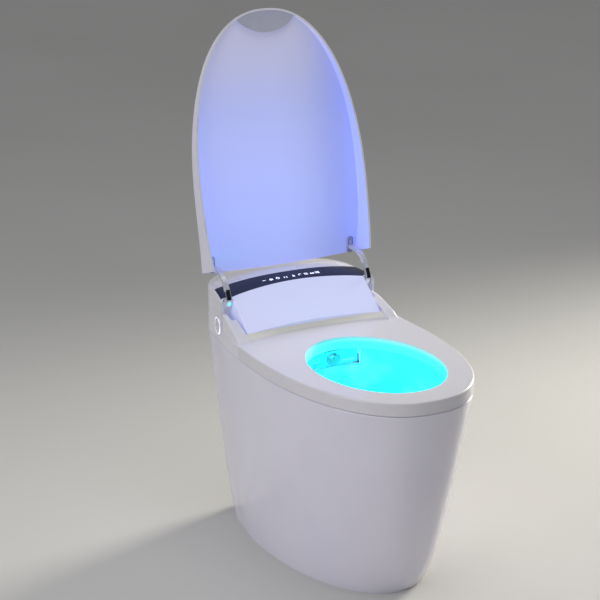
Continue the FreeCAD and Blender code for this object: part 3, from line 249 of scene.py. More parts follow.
water = Finish("lit_water", seen(30, 190, 205), 0.04, coat=1.0)
water.glow(bowl_lit, water.ramp(water.cloud(0.03), 0.3, 0.7, 0.62, 0.8))
water.uneven_gloss(0.02, 0.06, 0.02)
water.relief(0.02, 0.0002, 1.0)
piece(
    "sump_water", shore + bed,
    [tuple(range(shore_points)), tuple(reversed(range(shore_points, 2 * shore_points))), *wall],
    "housing", water,
)

# The trapway is a siphon bent from grey plastic pipe, pushed up into the bowl's sump.
# It seals to the floor outlet through a soft rubber ring.

pipe_plastic = Finish("pipe_plastic", seen(118, 122, 130), 0.42)
pipe_plastic.feed("Base Color", pipe_plastic.drift(seen(100, 105, 114), 0.05))
pipe_plastic.uneven_gloss(0.34, 0.5, 0.02)
pipe_plastic.relief(0.004, 0.00015, 4.0)
pipe_plastic.put_on("trap_pipe")

rubber = Finish("soft_rubber", seen(62, 62, 66), 0.62)
rubber.feed("Base Color", rubber.drift(seen(82, 81, 84), 0.02))
rubber.uneven_gloss(0.55, 0.75, 0.01)
rubber.relief(0.0012, 0.0001, 3.0)
rubber.put_on("floor_seal", "seat_bumpers")

# Two folded steel angles are bolted to the floor, and the skirt sits down over them.
# The steel is cold rolled and galvanised, with a faint spangle.

galvanised = Finish("galvanised_steel", seen(168, 172, 178), 0.38, metal=1.0)
spangle = galvanised.add("TexVoronoi", {"Vector": galvanised.place, "Scale": 160.0}).outputs["Distance"]
galvanised.feed("Base Color", galvanised.blend(
    galvanised.ramp(spangle, 0.1, 0.8), seen(150, 154, 160), seen(190, 194, 199)
))
galvanised.uneven_gloss(0.3, 0.48, 0.006)
galvanised.relief(0.002, 0.00004)
galvanised.put_on("floor_brackets")

# The base tray is one moulding in grained pale plastic. It lies on the ceramic deck,
# carries every unit of the housing, and its two bulkheads bear the hinge.

tray_plastic = Finish("tray_plastic", seen(210, 210, 217), 0.55)
tray_plastic.feed("Base Color", tray_plastic.drift(seen(198, 198, 207), 0.04))
# A faint pale glow is painted on the tray as light that lifts its shade.
tray_plastic.glow(seen(204, 206, 220), tray_plastic.ramp(tray_plastic.cloud(0.03), 0.3, 0.7, 0.18, 0.24))
tray_plastic.uneven_gloss(0.48, 0.66, 0.015)
tray_plastic.relief(0.0015, 0.00012, 4.0)
tray_plastic.put_on("base_tray")

# The nozzle guard is a small white moulding at the back of the bowl, with the wand's port
# and the dryer's vent in its front. The night light's lens is let in beside them. The
# night light is painted on the guard as a cyan colour and glow, like the glaze below it.

guard_plastic = Finish("lit_guard_plastic", seen(60, 190, 196), 0.3, coat=0.3)
guard_plastic.feed("Base Color", guard_plastic.drift(seen(44, 170, 180), 0.02))
guard_span = (-0.06, 0.05)
guard_plastic.glow(bowl_lit, guard_plastic.ramp(guard_plastic.along(0), *guard_span, 0.5, 0.74))
guard_plastic.uneven_gloss(0.24, 0.36, 0.01)
guard_plastic.relief(0.003, 0.0001)
guard_plastic.put_on("nozzle_guard")


def slab(outline, low, high, place):
    """Points and faces of a plate: an outline in the plane of a place, from a height to another."""
    count = len(outline)
    points = [place @ Vector((x, y, low)) for x, y in outline]
    points += [place @ Vector((x, y, high)) for x, y in outline]
    faces = [tuple(reversed(range(count))), tuple(range(count, 2 * count))]
    for i in range(count):
        after = (i + 1) % count
        faces.append((i, after, after + count, i + count))
    return points, faces


def slabs(outlines, low, high, place):
    """Several plates as one set of points and faces."""
    points = []
    faces = []
    for outline in outlines:
        more_points, more_faces = slab(outline, low, high, place)
        faces += [tuple(corner + len(points) for corner in face) for face in more_faces]
        points += more_points
    return points, faces


def bar(x0, y0, x1, y1):
    """A rectangle, as a list of one outline."""
    return [[(x0, y0), (x1, y0), (x1, y1), (x0, y1)]]


def arc(centre, inner, outer, start, end, step=15):
    """A band along part of a circle, as short four-sided outlines. Angles are in degrees."""
    count = max(round((end - start) / step), 1)
    turns = [math.radians(start + (end - start) * i / count) for i in range(count + 1)]
    outlines = []
    for turn, after in zip(turns, turns[1:]):
        corners = ((inner, turn), (outer, turn), (outer, after), (inner, after))
        outlines.append([
            (centre[0] + far * math.cos(way), centre[1] + far * math.sin(way)) for far, way in corners
        ])
    return outlines


def facing_out(spot, normal, up):
    """A place at a spot, with its height along the normal and its second axis towards up."""
    side = Vector(up).cross(normal).normalized()
    rise = normal.cross(side)
    return Matrix.Translation(spot) @ Matrix((side, rise, normal)).transposed().to_4x4()


def on_surface(name, start, way, up):
    """The place where a line first meets a piece, facing out of its surface."""
    spot, normal = skin(name).ray_cast(Vector(start), Vector(way))[:2]
    return facing_out(spot, normal, up)


# The port has a soft shade ring inside it and a raised lip round its lower side. A fine
# seam runs under the port, and a flange closes the gap beside each end of the guard.

port_height = 0.4
port_front = -0.1
port_side = 0.02
port_reach = 0.0132
port_face = on_surface("nozzle_guard", (port_side, port_front, port_height), (0, 1, 0), (0, 0, 1))
port_face.translation.x = 0.0

shade_reach = 0.0106
shade_gap = 0.0004
shade_deep = 0.0016
shade_thick = 0.0006
# The ring's cyan colour and glow are painted light of the bowl, filling the port's dark hollow.
shade_plastic = Finish("port_shade_plastic", seen(40, 150, 190), 0.4)
shade_plastic.feed("Base Color", shade_plastic.drift(seen(30, 130, 175), 0.006))
shade_plastic.glow(
    seen(40, 214, 246), shade_plastic.ramp(shade_plastic.cloud(0.01), 0.3, 0.7, 0.62, 0.74)
)
shade_plastic.uneven_gloss(0.34, 0.46, 0.005)
shade_plastic.relief(0.002, 0.00001)
shade_bands = arc((0, 0), shade_reach, port_reach - shade_gap, 0, 360, 10)
piece(
    "port_shade", *slabs(shade_bands, -shade_deep, shade_thick - shade_deep, port_face),
    "housing", shade_plastic,
)

seam_start = -0.0168
seam_end = 0.0545
seam_drop = 0.0153
seam_wide = 0.0007
seam_sunk = 0.0001
seam_high = 0.0002
guard_seam = Finish("guard_seam", seen(16, 84, 112), 0.6)
guard_seam.feed("Base Color", guard_seam.drift(seen(24, 104, 132), 0.01))
guard_seam.uneven_gloss(0.5, 0.7, 0.01)
guard_seam.relief(0.001, 0.00001)
seam_line = bar(seam_start, -seam_drop, seam_end, seam_wide - seam_drop)
piece(
    "guard_seam", *slabs(seam_line, -seam_sunk, seam_high, port_face), "housing", guard_seam
)

port_lip = 0.0016
lip_high = 0.0006
lip_turns = (150, 390)
lip_fade = (0.405, 0.392)
# The lip's blue colour and glow are painted light of the bowl, stronger lower down.
port_plastic = Finish("port_lip_plastic", seen(40, 140, 205), 0.3, coat=0.3)
port_plastic.feed("Base Color", port_plastic.drift(seen(30, 120, 190), 0.01))
port_plastic.glow(seen(48, 176, 240), port_plastic.ramp(port_plastic.along(2), *lip_fade, 0.3, 0.7))
port_plastic.uneven_gloss(0.24, 0.36, 0.005)
port_plastic.relief(0.002, 0.00002)
lip_bands = arc((0, 0), port_reach, port_reach + port_lip, *lip_turns, 10)
piece("port_lip", *slabs(lip_bands, 0, lip_high, port_face), "housing", port_plastic)

flange_start = 0.0569
flange_end = 0.068
flange_back = 0.0024
flange_low = -0.0145
flange_high = 0.0034
flange_thick = 0.0006
# The flanges' blue colour and glow are painted light of the bowl.
flange_plastic = Finish("guard_flange_plastic", seen(40, 110, 190), 0.4)
flange_plastic.feed("Base Color", flange_plastic.drift(seen(30, 100, 180), 0.006))
flange_plastic.glow(
    seen(60, 150, 250), flange_plastic.ramp(flange_plastic.cloud(0.01), 0.3, 0.7, 0.7, 0.85)
)
flange_plastic.uneven_gloss(0.34, 0.46, 0.005)
flange_plastic.relief(0.002, 0.00001)
for side_name, way in (("left", -1), ("right", 1)):
    near, far = sorted((way * flange_start, way * flange_end))
    flange = bar(near, flange_low, far, flange_high)
    piece(
        "guard_flange_" + side_name,
        *slabs(flange, -flange_back - flange_thick, -flange_back, port_face),
        "housing", flange_plastic,
    )

# The night light and the status light have lenses of one clear cyan plastic. Each lens is
# polished, pushed into its opening from the front and lit from behind by a small lamp.

lens_cyan = Finish("cyan_lens", seen(120, 236, 255), 0.12, coat=1.0)
lens_core = lens_cyan.ramp(lens_cyan.cloud(0.006), 0.3, 0.7, 1.0, 1.5)
lens_cyan.glow(seen(70, 232, 255), lens_core)
lens_cyan.relief(0.0015, 0.00005)
lens_cyan.put_on("night_light", "status_light")

# The spray wand is a drawn stainless tube with a rounded tip and two spray holes.
# A nylon rack is moulded along its top, and a small gear motor drives it out.

# Inside the guard's recess, the bowl's cyan light is painted on the wand's tip as a glow.
tip_span = (0.060, 0.045)
under_guard = (0.42, 0.412)
steel = Finish("brushed_steel", seen(196, 197, 201), 0.24, metal=1.0)
steel.glow(seen(44, 206, 244), steel.times(
    steel.ramp(steel.along(1), *tip_span), steel.ramp(steel.along(2), *under_guard, 0.0, 0.55)
))
steel.feed("Base Color", steel.drift(seen(176, 178, 184), 0.03))
steel.uneven_gloss(0.18, 0.34, 0.01)
steel.relief(0.002, 0.00001, 3.0, stretch=(1, 1, 12))
steel.put_on("spray_wand", "hinge_pin_right", "hinge_pin_left")

nylon = Finish("natural_nylon", seen(226, 222, 208), 0.4)
nylon.feed("Base Color", nylon.drift(seen(214, 208, 190), 0.01))
nylon.uneven_gloss(0.34, 0.5, 0.006)
nylon.relief(0.001, 0.00006)
nylon.put_on("wand_pinion", "fan_impeller")

dark_plastic = Finish("dark_moulded_plastic", seen(58, 59, 64), 0.46)
dark_plastic.feed("Base Color", dark_plastic.drift(seen(74, 75, 80), 0.03))
dark_plastic.uneven_gloss(0.4, 0.58, 0.01)
dark_plastic.relief(0.0012, 0.0001, 4.0)
dark_plastic.put_on("wand_cradle", "dryer_volute", "spray_pump", "power_gland")

motor_can = Finish("plated_motor_can", seen(182, 183, 188), 0.3, metal=1.0)
motor_can.feed("Base Color", motor_can.drift(seen(158, 160, 166), 0.012))
motor_can.uneven_gloss(0.22, 0.42, 0.008)
motor_can.relief(0.0012, 0.00004, 3.0)
motor_can.put_on("wand_motor", "fan_motor")

# The warm air dryer blows through a flat grey duct beside the wand.
# Duct and fan case are moulded, and the case is screwed to the tray.

duct_plastic = Finish("duct_plastic", seen(176, 178, 184), 0.48)
duct_plastic.feed("Base Color", duct_plastic.drift(seen(160, 162, 170), 0.03))
duct_plastic.uneven_gloss(0.4, 0.58, 0.01)
duct_plastic.relief(0.0014, 0.0001, 3.0)
# Towards its mouth the duct has the bowl's cyan light painted on it as a glow.
duct_mouth = (0.10, 0.05)
duct_plastic.glow(bowl_lit, duct_plastic.ramp(duct_plastic.along(1), *duct_mouth, 0.0, 0.75))
duct_plastic.put_on("dryer_duct")

# Water comes in through a turned brass fitting and a solenoid valve at the rear,
# and is warmed in a small stainless tank. The charcoal filter takes smells out of the air.

brass = Finish("turned_brass", seen(205, 182, 122), 0.26, metal=1.0)
brass.feed("Base Color", brass.drift(seen(176, 148, 92), 0.008))
brass.uneven_gloss(0.2, 0.4, 0.005)
brass.relief(0.0009, 0.00004, 2.0, stretch=(1, 6, 1))
brass.put_on("inlet_fitting", "inlet_valve")

tank_steel = Finish("tank_steel", seen(190, 191, 194), 0.32, metal=1.0)
tank_steel.feed("Base Color", tank_steel.drift(seen(170, 171, 176), 0.02))
tank_steel.uneven_gloss(0.26, 0.42, 0.01)
tank_steel.relief(0.0015, 0.00004, 3.0, stretch=(10, 1, 1))
tank_steel.put_on("water_heater")

filter_plastic = Finish("filter_case_plastic", seen(86, 92, 98), 0.5)
filter_plastic.feed("Base Color", filter_plastic.drift(seen(70, 75, 80), 0.02))
filter_plastic.uneven_gloss(0.42, 0.6, 0.01)
filter_plastic.relief(0.0012, 0.0001, 4.0)
filter_plastic.put_on("deodoriser")

# The control board and the lamp board are green fibreglass boards with dark chips.
# The mains supply sits in a folded aluminium case with vent slots.

board_green = Finish("green_board", seen(38, 112, 70), 0.36, coat=0.3)
tracks = board_green.add(
    "TexVoronoi", {"Vector": board_green.place, "Scale": 260.0}, feature="DISTANCE_TO_EDGE"
).outputs[0]
on_track = board_green.ramp(tracks, 0.02, 0.09)
board_green.feed("Base Color", board_green.blend(on_track, seen(70, 148, 96), seen(34, 104, 64)))
board_green.uneven_gloss(0.3, 0.45, 0.004)
board_green.relief(0.0008, 0.00006, 4.0)
board_green.put_on("control_board", "icon_board")

case_metal = Finish("folded_aluminium", seen(188, 190, 194), 0.36, metal=1.0)
case_metal.feed("Base Color", case_metal.drift(seen(168, 170, 176), 0.02))
case_metal.uneven_gloss(0.28, 0.46, 0.008)
case_metal.relief(0.001, 0.00004, 3.0, stretch=(8, 1, 1))
case_metal.put_on("power_supply")

# The hinge drives are closed die-cast cases with a damped gear train.
# The lid's drive is on the right and the seat's is on the left, in line with the pins.

cast_metal = Finish("cast_drive_case", seen(120, 123, 130), 0.44, metal=0.8)
cast_metal.feed("Base Color", cast_metal.drift(seen(100, 103, 110), 0.015))
cast_metal.uneven_gloss(0.38, 0.56, 0.006)
cast_metal.relief(0.0011, 0.00012, 4.0)
cast_metal.put_on("lid_drive", "seat_drive")

# The seat is a glossy moulded ring with a closed underside, and a warming mat inside it.
# Two steel arms, coated pale grey, hang from the hinge and carry it.

seat_hole_half = (0.1261, 0.1718)
wall_fade = (1.02, 1.004)
wall_rise = (0.4436, 0.430)
wall_span = (-0.09, 0.02)
wall_tint_share = 0.85
cove_span = (0.085, 0.10)
cove_rise = (0.4437, 0.4475)
# The bowl's cyan light is painted on the wall of the opening as glow and tint, most on the right,
# and warm light is painted on the raised back.
seat_white = Finish("seat_plastic", seen(219, 217, 223), 0.3, coat=0.25)
seat_reach = seat_white.oval_reach(bowl_middle, seat_hole_half)
on_wall = seat_white.times(
    seat_white.ramp(seat_reach, *wall_fade), seat_white.ramp(seat_white.along(2), *wall_rise)
)
wall_deep = seat_white.ramp(seat_white.along(0), *wall_span)
wall_power = seat_white.times(on_wall, seat_white.ramp(wall_deep, 0.0, 1.0, 0.34, 0.98))
seat_white.glow(bowl_lit, wall_power)
cove_warm_light = seat_white.times(
    seat_white.ramp(seat_white.along(1), *cove_span), seat_white.ramp(seat_white.along(2), *cove_rise)
)
seat_colour = seat_white.blend(
    cove_warm_light, seat_white.drift(seen(217, 215, 222), 0.3), seen(236, 235, 228)
)
wall_tint = seat_white.times(on_wall, seat_white.times(wall_deep, wall_tint_share))
seat_white.feed("Base Color", seat_white.blend(wall_tint, seat_colour, bowl_lit_tint))
seat_white.uneven_gloss(0.29, 0.31, 0.2)
seat_white.relief(0.012, 0.000008)
seat_white.put_on("seat_top", "seat_base")

warming_film = Finish("warming_film", seen(196, 120, 52), 0.34, coat=0.4)
heat_lines = warming_film.add(
    "TexWave", {"Vector": warming_film.place, "Scale": 40.0, "Distortion": 2.0}, bands_direction="X"
).outputs[1]
warming_film.feed("Base Color", warming_film.blend(
    warming_film.ramp(heat_lines, 0.45, 0.6), seen(206, 132, 60), seen(150, 84, 34)
))
warming_film.uneven_gloss(0.28, 0.42, 0.01)
warming_film.relief(0.002, 0.00004)
warming_film.put_on("seat_heater")

plate_steel = Finish("coated_plate_steel", seen(214, 214, 220), 0.4, metal=0.1, coat=0.2)
plate_steel.feed("Base Color", plate_steel.drift(seen(206, 206, 214), 0.02))
plate_steel.uneven_gloss(0.34, 0.46, 0.008)
plate_steel.relief(0.0012, 0.00002, 3.0)
# A faint pale glow is painted on the seat arms as light that lifts their shade in the slots.
plate_steel.glow(seen(204, 206, 220), plate_steel.ramp(plate_steel.cloud(0.02), 0.3, 0.7, 0.16, 0.2))
plate_steel.put_on("seat_arm_right", "seat_arm_left")

# The lid is a domed moulded shell with a smooth rounded rim. Its inside has blue light
# painted on it as a periwinkle tint, stronger towards the hinge and the right wall.

lid_outside = seen(228, 226, 238)
lid_tip_blue_light = seen(190, 192, 228)
lid_heel_blue_light = seen(180, 190, 253)
lid_wall_blue_light = seen(152, 166, 252)
lid_sheen_low = seen(172, 182, 255)
lid_sheen_high = seen(214, 210, 232)
lid_inside_point = (0.0, 0.222, 0.60)
tint_rise = (0.98, 0.62)
tint_side = (0.06, 0.17)
tint_side_share = 0.8
sheen_rise = (1.04, 0.74)
sheen_side = (0.16, 0.0)
sheen_hue_rise = (0.86, 1.04)
right_wall_turn = (-0.4, -0.75)

# The painted blue light deepens down the lid and towards its right wall, where a painted sheen glows
# strongest.
lid_finish = Finish("lid_shell_blue_lit_inside", lid_outside, 0.26, coat=0.3)
lid_inner = lid_finish.ramp(lid_finish.facing(lid_inside_point), *facing_fade)
down_lid = lid_finish.ramp(lid_finish.along(2), *tint_rise)
to_right = lid_finish.ramp(lid_finish.along(0), *tint_side, 0.0, tint_side_share)
inner_blue_light = lid_finish.blend(down_lid, lid_tip_blue_light, lid_heel_blue_light)
inner_blue_light = lid_finish.blend(to_right, inner_blue_light, lid_wall_blue_light)
grain = lid_finish.ramp(lid_finish.cloud(0.0022, 3.0), 0.3, 0.7, 0.0, 0.09)
inner_blue_light = lid_finish.blend(grain, inner_blue_light, lid_tip_blue_light)
lid_finish.feed("Base Color", lid_finish.blend(
    lid_inner, lid_finish.drift(seen(225, 223, 236), 0.3), inner_blue_light
))
sheen_hue = lid_finish.ramp(lid_finish.along(2), *sheen_hue_rise)
sheen = lid_finish.blend(sheen_hue, lid_sheen_low, lid_sheen_high)
sheen_power = lid_finish.times(
    lid_finish.ramp(lid_finish.along(2), *sheen_rise, 0.29, 0.46),
    lid_finish.ramp(lid_finish.along(0), *sheen_side, 0.6, 1.0),
)
wall_turn = lid_finish.add("SeparateXYZ", {0: lid_finish.add("TexCoord").outputs["Normal"]})
on_right_wall = lid_finish.ramp(wall_turn.outputs[0], *right_wall_turn, 0.0, 0.17)
sheen_power = lid_finish.maths("ADD", sheen_power, on_right_wall)
lid_finish.glow(sheen, lid_finish.times(sheen_power, lid_inner))
lid_finish.uneven_gloss(0.34, 0.42, 0.1)
lid_finish.relief(0.0018, 0.000012)
lid_finish.put_on("lid_shell")

# The finger web is a flat plate moulded across the lid's tip.
# Four soft pads on the rim keep the closed lid off the seat.

web_plastic = Finish("lid_web_plastic", seen(186, 186, 204), 0.4)
web_plastic.feed("Base Color", web_plastic.drift(seen(178, 179, 200), 0.04))
web_plastic.uneven_gloss(0.34, 0.48, 0.01)
web_plastic.relief(0.004, 0.0001)
web_plastic.put_on("lid_grip")

clear_rubber = Finish("clear_rubber", seen(214, 214, 226), 0.5)
clear_rubber.feed("Base Color", clear_rubber.drift(seen(204, 205, 220), 0.02))
clear_rubber.uneven_gloss(0.42, 0.6, 0.006)
clear_rubber.relief(0.001, 0.0001)
clear_rubber.put_on("lid_rim_pads")

# Each gooseneck arm is steel with a satin pearl coat. It leaves the hinge, curves up past
# the housing and ends on a pill-shaped pad inside the lid.

arm_coat = Finish("pearl_coated_arm", seen(214, 214, 222), 0.26, metal=0.35, coat=0.5)
arm_coat.feed("Base Color", arm_coat.drift(seen(198, 199, 212), 0.02))
arm_coat.uneven_gloss(0.22, 0.3, 0.03)
arm_coat.relief(0.006, 0.000006)
# Inside the slots, below the housing's top, a pale glow is painted on the arms as light that lifts their
# shade.
slot_top = (0.512, 0.500)
arm_coat.glow(seen(204, 206, 224), arm_coat.ramp(arm_coat.along(2), *slot_top, 0.0, 0.38))
arm_coat.put_on("lid_arm_right", "lid_arm_left")

bracket_coat = Finish("bracket_coat", seen(168, 172, 210), 0.42, metal=0.1, coat=0.1)
bracket_coat.feed("Base Color", bracket_coat.drift(seen(150, 157, 204), 0.01))
bracket_coat.uneven_gloss(0.38, 0.46, 0.02)
bracket_coat.relief(0.004, 0.000008)
# Blue light from inside the lid is painted on the brackets as a glow, stronger on the left one.
bracket_span = (-0.15, 0.15)
bracket_coat.glow(
    seen(160, 166, 240), bracket_coat.ramp(bracket_coat.along(0), *bracket_span, 0.34, 0.06)
)
bracket_coat.put_on("lid_bracket_right", "lid_bracket_left")

# Each bracket has a groove near its edge, a flat band whose dark colour is painted shade, and
# two button-head screws hold it to the lid. The screws are plated steel with a hexagon socket.

cap_steps = 12


def pill(half_wide, half_high):
    """The outline of an upright pill, with a half circle at each end."""
    outline = []
    for way in (1, -1):
        for turn in (math.pi * step / cap_steps for step in range(cap_steps + 1)):
            rise = half_high - half_wide + half_wide * math.sin(turn)
            outline.append((way * half_wide * math.cos(turn), way * rise))
    return outline


def between(outer, inner):
    """The band between two outlines with as many points."""
    outlines = []
    for i in range(len(outer)):
        after = (i + 1) % len(outer)
        outlines.append([inner[i], outer[i], outer[after], inner[after]])
    return outlines


recess_shade = Finish("bracket_groove", seen(46, 48, 66), 0.5)
recess_shade.feed("Base Color", recess_shade.drift(seen(62, 64, 86), 0.004))
recess_shade.uneven_gloss(0.42, 0.58, 0.004)
recess_shade.relief(0.001, 0.00002)
screw_steel = Finish("screw_steel", seen(176, 177, 192), 0.34, metal=0.4)
screw_steel.feed("Base Color", screw_steel.drift(seen(150, 152, 160), 0.002))
screw_steel.uneven_gloss(0.22, 0.36, 0.002)
screw_steel.relief(0.0006, 0.00001)

groove_inset = 0.0012
groove_wide = 0.0009
groove_high = 0.0001
screw_reach = 0.0022
screw_high = 0.0007
socket_reach = 0.0011
socket_high = 0.000175
screw_rise = 0.0125
clear_of_lid = 0.1


def screw(name, place, body):
    """A button-head screw with a hexagon socket, whose dark colour is painted shade."""
    head = arc((0, 0), socket_reach, screw_reach, 0, 360)
    piece(name + "_head", *slabs(head, 0, screw_high, place), body, screw_steel)
    turns = [math.tau * corner / 6 for corner in range(6)]
    socket = [(socket_reach * math.cos(turn), socket_reach * math.sin(turn)) for turn in turns]
    piece(name + "_socket", *slab(socket, 0, socket_high, place), body, recess_shade)


for side_name in ("left", "right"):
    low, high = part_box("lid_bracket_" + side_name)
    middle = (low + high) / 2
    half_wide = (high.x - low.x) / 2
    half_high = (high.z - low.z) / 2
    before = (middle.x, middle.y - clear_of_lid, high.z - half_wide)
    face = on_surface("lid_bracket_" + side_name, before, (0, 1, 0), (0, 0, 1))
    face.translation = face @ Vector((0, half_wide - half_high, 0))
    groove = between(
        pill(half_wide - groove_inset, half_high - groove_inset),
        pill(half_wide - groove_inset - groove_wide, half_high - groove_inset - groove_wide),
    )
    piece(
        "bracket_groove_" + side_name, *slabs(groove, -groove_high, groove_high, face),
        "lid", recess_shade,
    )
    for end, way in (("top", 1), ("foot", -1)):
        spot = face.copy()
        spot.translation = face @ Vector((0, way * screw_rise, 0))
        screw("bracket_screw_" + side_name + "_" + end, spot, "lid")

# A dull black moulded insert is let into the front of each arm, and glued there.

insert_black = Finish("black_insert", seen(14, 14, 17), 0.5)
insert_black.feed("Base Color", insert_black.drift(seen(22, 22, 26), 0.006))
insert_black.shader.inputs["Specular IOR Level"].default_value = 0.25
insert_black.uneven_gloss(0.45, 0.56, 0.004)
insert_black.relief(0.0012, 0.00004)
insert_black.put_on("arm_insert_right", "arm_insert_left")

# The small round lens under the left insert is a clear moulded dome over a cyan lamp.
# It is pressed into the end of the arm and moves with the lid.

dome_low, dome_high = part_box("status_light")
dome_share = 0.995
dome_reach = (dome_high.x - dome_low.x) / 2 * dome_share
dome_mesh = bpy.data.meshes.new("status_dome")
dome_shape = bmesh.new()
bmesh.ops.create_uvsphere(dome_shape, u_segments=40, v_segments=24, radius=dome_reach)
dome_shape.to_mesh(dome_mesh)
dome_shape.free()
dome_mesh.transform(Matrix.Translation((
    (dome_low.x + dome_high.x) / 2, dome_low.y + dome_reach, dome_low.z + dome_reach
)))
dome_mesh.materials.append(lens_cyan.material)
dome_mesh.shade_smooth()
status_dome = bpy.data.objects.new("status_dome", dome_mesh)
bpy.context.collection.objects.link(status_dome)
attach(status_dome, "lid")
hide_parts("status_light")

# The housing is a set of glossy mouldings on the tray: the casing round the rear,
# the loose top cover for service, the two wings beside the seat and the slope panel.

shell_white = Finish("shell_plastic", seen(227, 226, 234), 0.28, coat=0.25)
shell_white.feed("Base Color", shell_white.drift(seen(225, 224, 233), 0.3))
shell_white.uneven_gloss(0.27, 0.29, 0.2)
shell_white.relief(0.012, 0.000008)
shell_white.put_on("rear_casing", "top_cover", "wing_right", "wing_left")

# The slope panel has blue light painted on it as a glow, a little stronger on the right, and its colour
# is a little bluer towards its foot.
panel_blue_lit = Finish("panel_blue_lit", seen(218, 220, 250), 0.24, coat=0.3)
panel_rise = (0.45, 0.53)
panel_span = (-0.16, 0.15)
down_panel = panel_blue_lit.ramp(panel_blue_lit.along(2), *panel_rise)
panel_blue_lit.feed(
    "Base Color", panel_blue_lit.blend(down_panel, seen(226, 228, 254), seen(228, 229, 250))
)
panel_blue_lit.glow(
    seen(176, 186, 255), panel_blue_lit.ramp(panel_blue_lit.along(0), *panel_span, 0.21, 0.24)
)
panel_blue_lit.uneven_gloss(0.3, 0.32, 0.2)
panel_blue_lit.relief(0.012, 0.000008)
panel_blue_lit.put_on("slope_panel")

# The display strip is a bowed band of smoked glass over the lamp board.
# Its small pictures are printed from behind and lit white.

strip_glass = Finish("smoked_glass_strip", seen(40, 43, 66), 0.3)
strip_glass.feed("Base Color", strip_glass.drift(seen(34, 37, 57), 0.05))
strip_glass.shader.inputs["Specular IOR Level"].default_value = 0.2
strip_glass.uneven_gloss(0.28, 0.36, 0.02)
strip_glass.relief(0.01, 0.000005)
strip_glass.put_on("display_strip")

lit_marks = Finish("lit_marks", seen(236, 240, 255), 0.4)
lit_marks.glow(seen(226, 234, 255), lit_marks.ramp(lit_marks.cloud(0.004), 0.3, 0.7, 0.8, 1.1))
lit_marks.uneven_gloss(0.35, 0.45, 0.004)
lit_marks.relief(0.001, 0.000004)


drop_point_share = 1.9
drop_turns = range(150, 391, 20)


def drop(x, y, reach):
    """A water drop: a disc with a point above it."""
    outline = [(x, y + reach * drop_point_share)]
    for turn in map(math.radians, drop_turns):
        outline.append((x + reach * math.cos(turn), y + reach * math.sin(turn)))
    return [outline]


mark_height = 0.00012
mark_y = 0.2235
above_strip = 0.6
# Each mark has its place along the strip, and its outlines.
marks = (
    (-0.066, bar(-0.0038, -0.0006, 0.0038, 0.0010)),
    (-0.051, drop(0, -0.0018, 0.0030) + bar(0.0036, -0.0048, 0.0048, 0.0030)),
    (-0.034, arc((0, 0), 0.0026, 0.0042, 110, 430) + bar(-0.0008, 0.0012, 0.0008, 0.0052)),
    (-0.016, bar(-0.0040, -0.0044, -0.0020, 0.0012) + bar(0.0016, -0.0044, 0.0036, 0.0012)),
    (0.003, [[(-0.0034, -0.0040), (0.0034, -0.0040), (0, 0.0048)]]),
    (0.019, arc((0, 0), 0.0022, 0.0040, 20, 230)),
    (0.033, bar(-0.0042, -0.0036, 0.0042, -0.0012) + bar(-0.0042, 0.0010, 0.0042, 0.0034)),
    (0.047, drop(-0.0022, -0.0018, 0.0024) + drop(0.0028, -0.0018, 0.0024)),
    (0.060, bar(-0.0044, -0.0040, -0.0020, 0.0040) + bar(0.0, -0.0040, 0.0044, 0.0040)),
)
for count, (x, outlines) in enumerate(marks):
    face = on_surface("display_strip", (x, mark_y, above_strip), (0, 0, -1), (0, 1, 0))
    piece(f"lit_mark_{count}", *slabs(outlines, 0, mark_height, face), "housing", lit_marks)

# The arms swing through a slot on each side. Thin moulded liners close the slot's inner
# side and its back, so that none of the units inside can be seen or wetted.

liner_plastic = Finish("slot_liner_plastic", seen(224, 223, 232), 0.4)
liner_plastic.feed("Base Color", liner_plastic.drift(seen(214, 213, 224), 0.03))
liner_plastic.uneven_gloss(0.34, 0.46, 0.02)
liner_plastic.relief(0.0014, 0.00001)
# A faint pale glow is painted on the liners as light that lifts the shade inside the slots.
liner_plastic.glow(
    seen(204, 206, 220), liner_plastic.ramp(liner_plastic.cloud(0.03), 0.3, 0.7, 0.2, 0.26)
)
liner_x = 0.1540
liner_thick = 0.0006
liner_span = (0.2078, 0.2526)
liner_rise = (0.4180, 0.5060)
back_x = 0.1672
bore_reach = 0.0078
bore_points = 48
least_share = 0.001
hinge_low, hinge_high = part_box("hinge_pin_left")
hinge_spot = (hinge_low + hinge_high) / 2
for side_name, way in (("left", -1), ("right", 1)):
    hole = []
    rim = []
    for step in range(bore_points):
        turn = math.tau * step / bore_points
        across, rise = math.cos(turn), math.sin(turn)
        hole.append((bore_reach * across, bore_reach * rise))
        room_y = (liner_span[1] if across > 0 else liner_span[0]) - hinge_spot.y
        room_z = (liner_rise[1] if rise > 0 else liner_rise[0]) - hinge_spot.z
        rooms = ((room_y, across), (room_z, rise))
        reach = min(room / share for room, share in rooms if abs(share) > least_share)
        rim.append((reach * across, reach * rise))
    place = Matrix.Translation((way * liner_x, hinge_spot.y, hinge_spot.z)) @ Matrix(
        ((0, 0, way), (1, 0, 0), (0, 1, 0))
    ).to_4x4()
    piece(
        "slot_liner_" + side_name, *slabs(between(rim, hole), 0, liner_thick, place),
        "housing", liner_plastic,
    )
    middle_x = way * (liner_x + back_x) / 2
    half_back = (back_x - liner_x) / 2
    middle_z = (liner_rise[0] + liner_rise[1]) / 2
    half_rise = (liner_rise[1] - liner_rise[0]) / 2
    place = facing_out(Vector((middle_x, liner_span[1], middle_z)), Vector((0, -1, 0)), (0, 0, 1))
    piece(
        "slot_back_" + side_name,
        *slabs(bar(-half_back, -half_rise, half_back, half_rise), 0, liner_thick, place),
        "housing", liner_plastic,
    )

# The round knob on the left side has a plated bezel, a light ring, a turned dial
# and a push button in its middle.

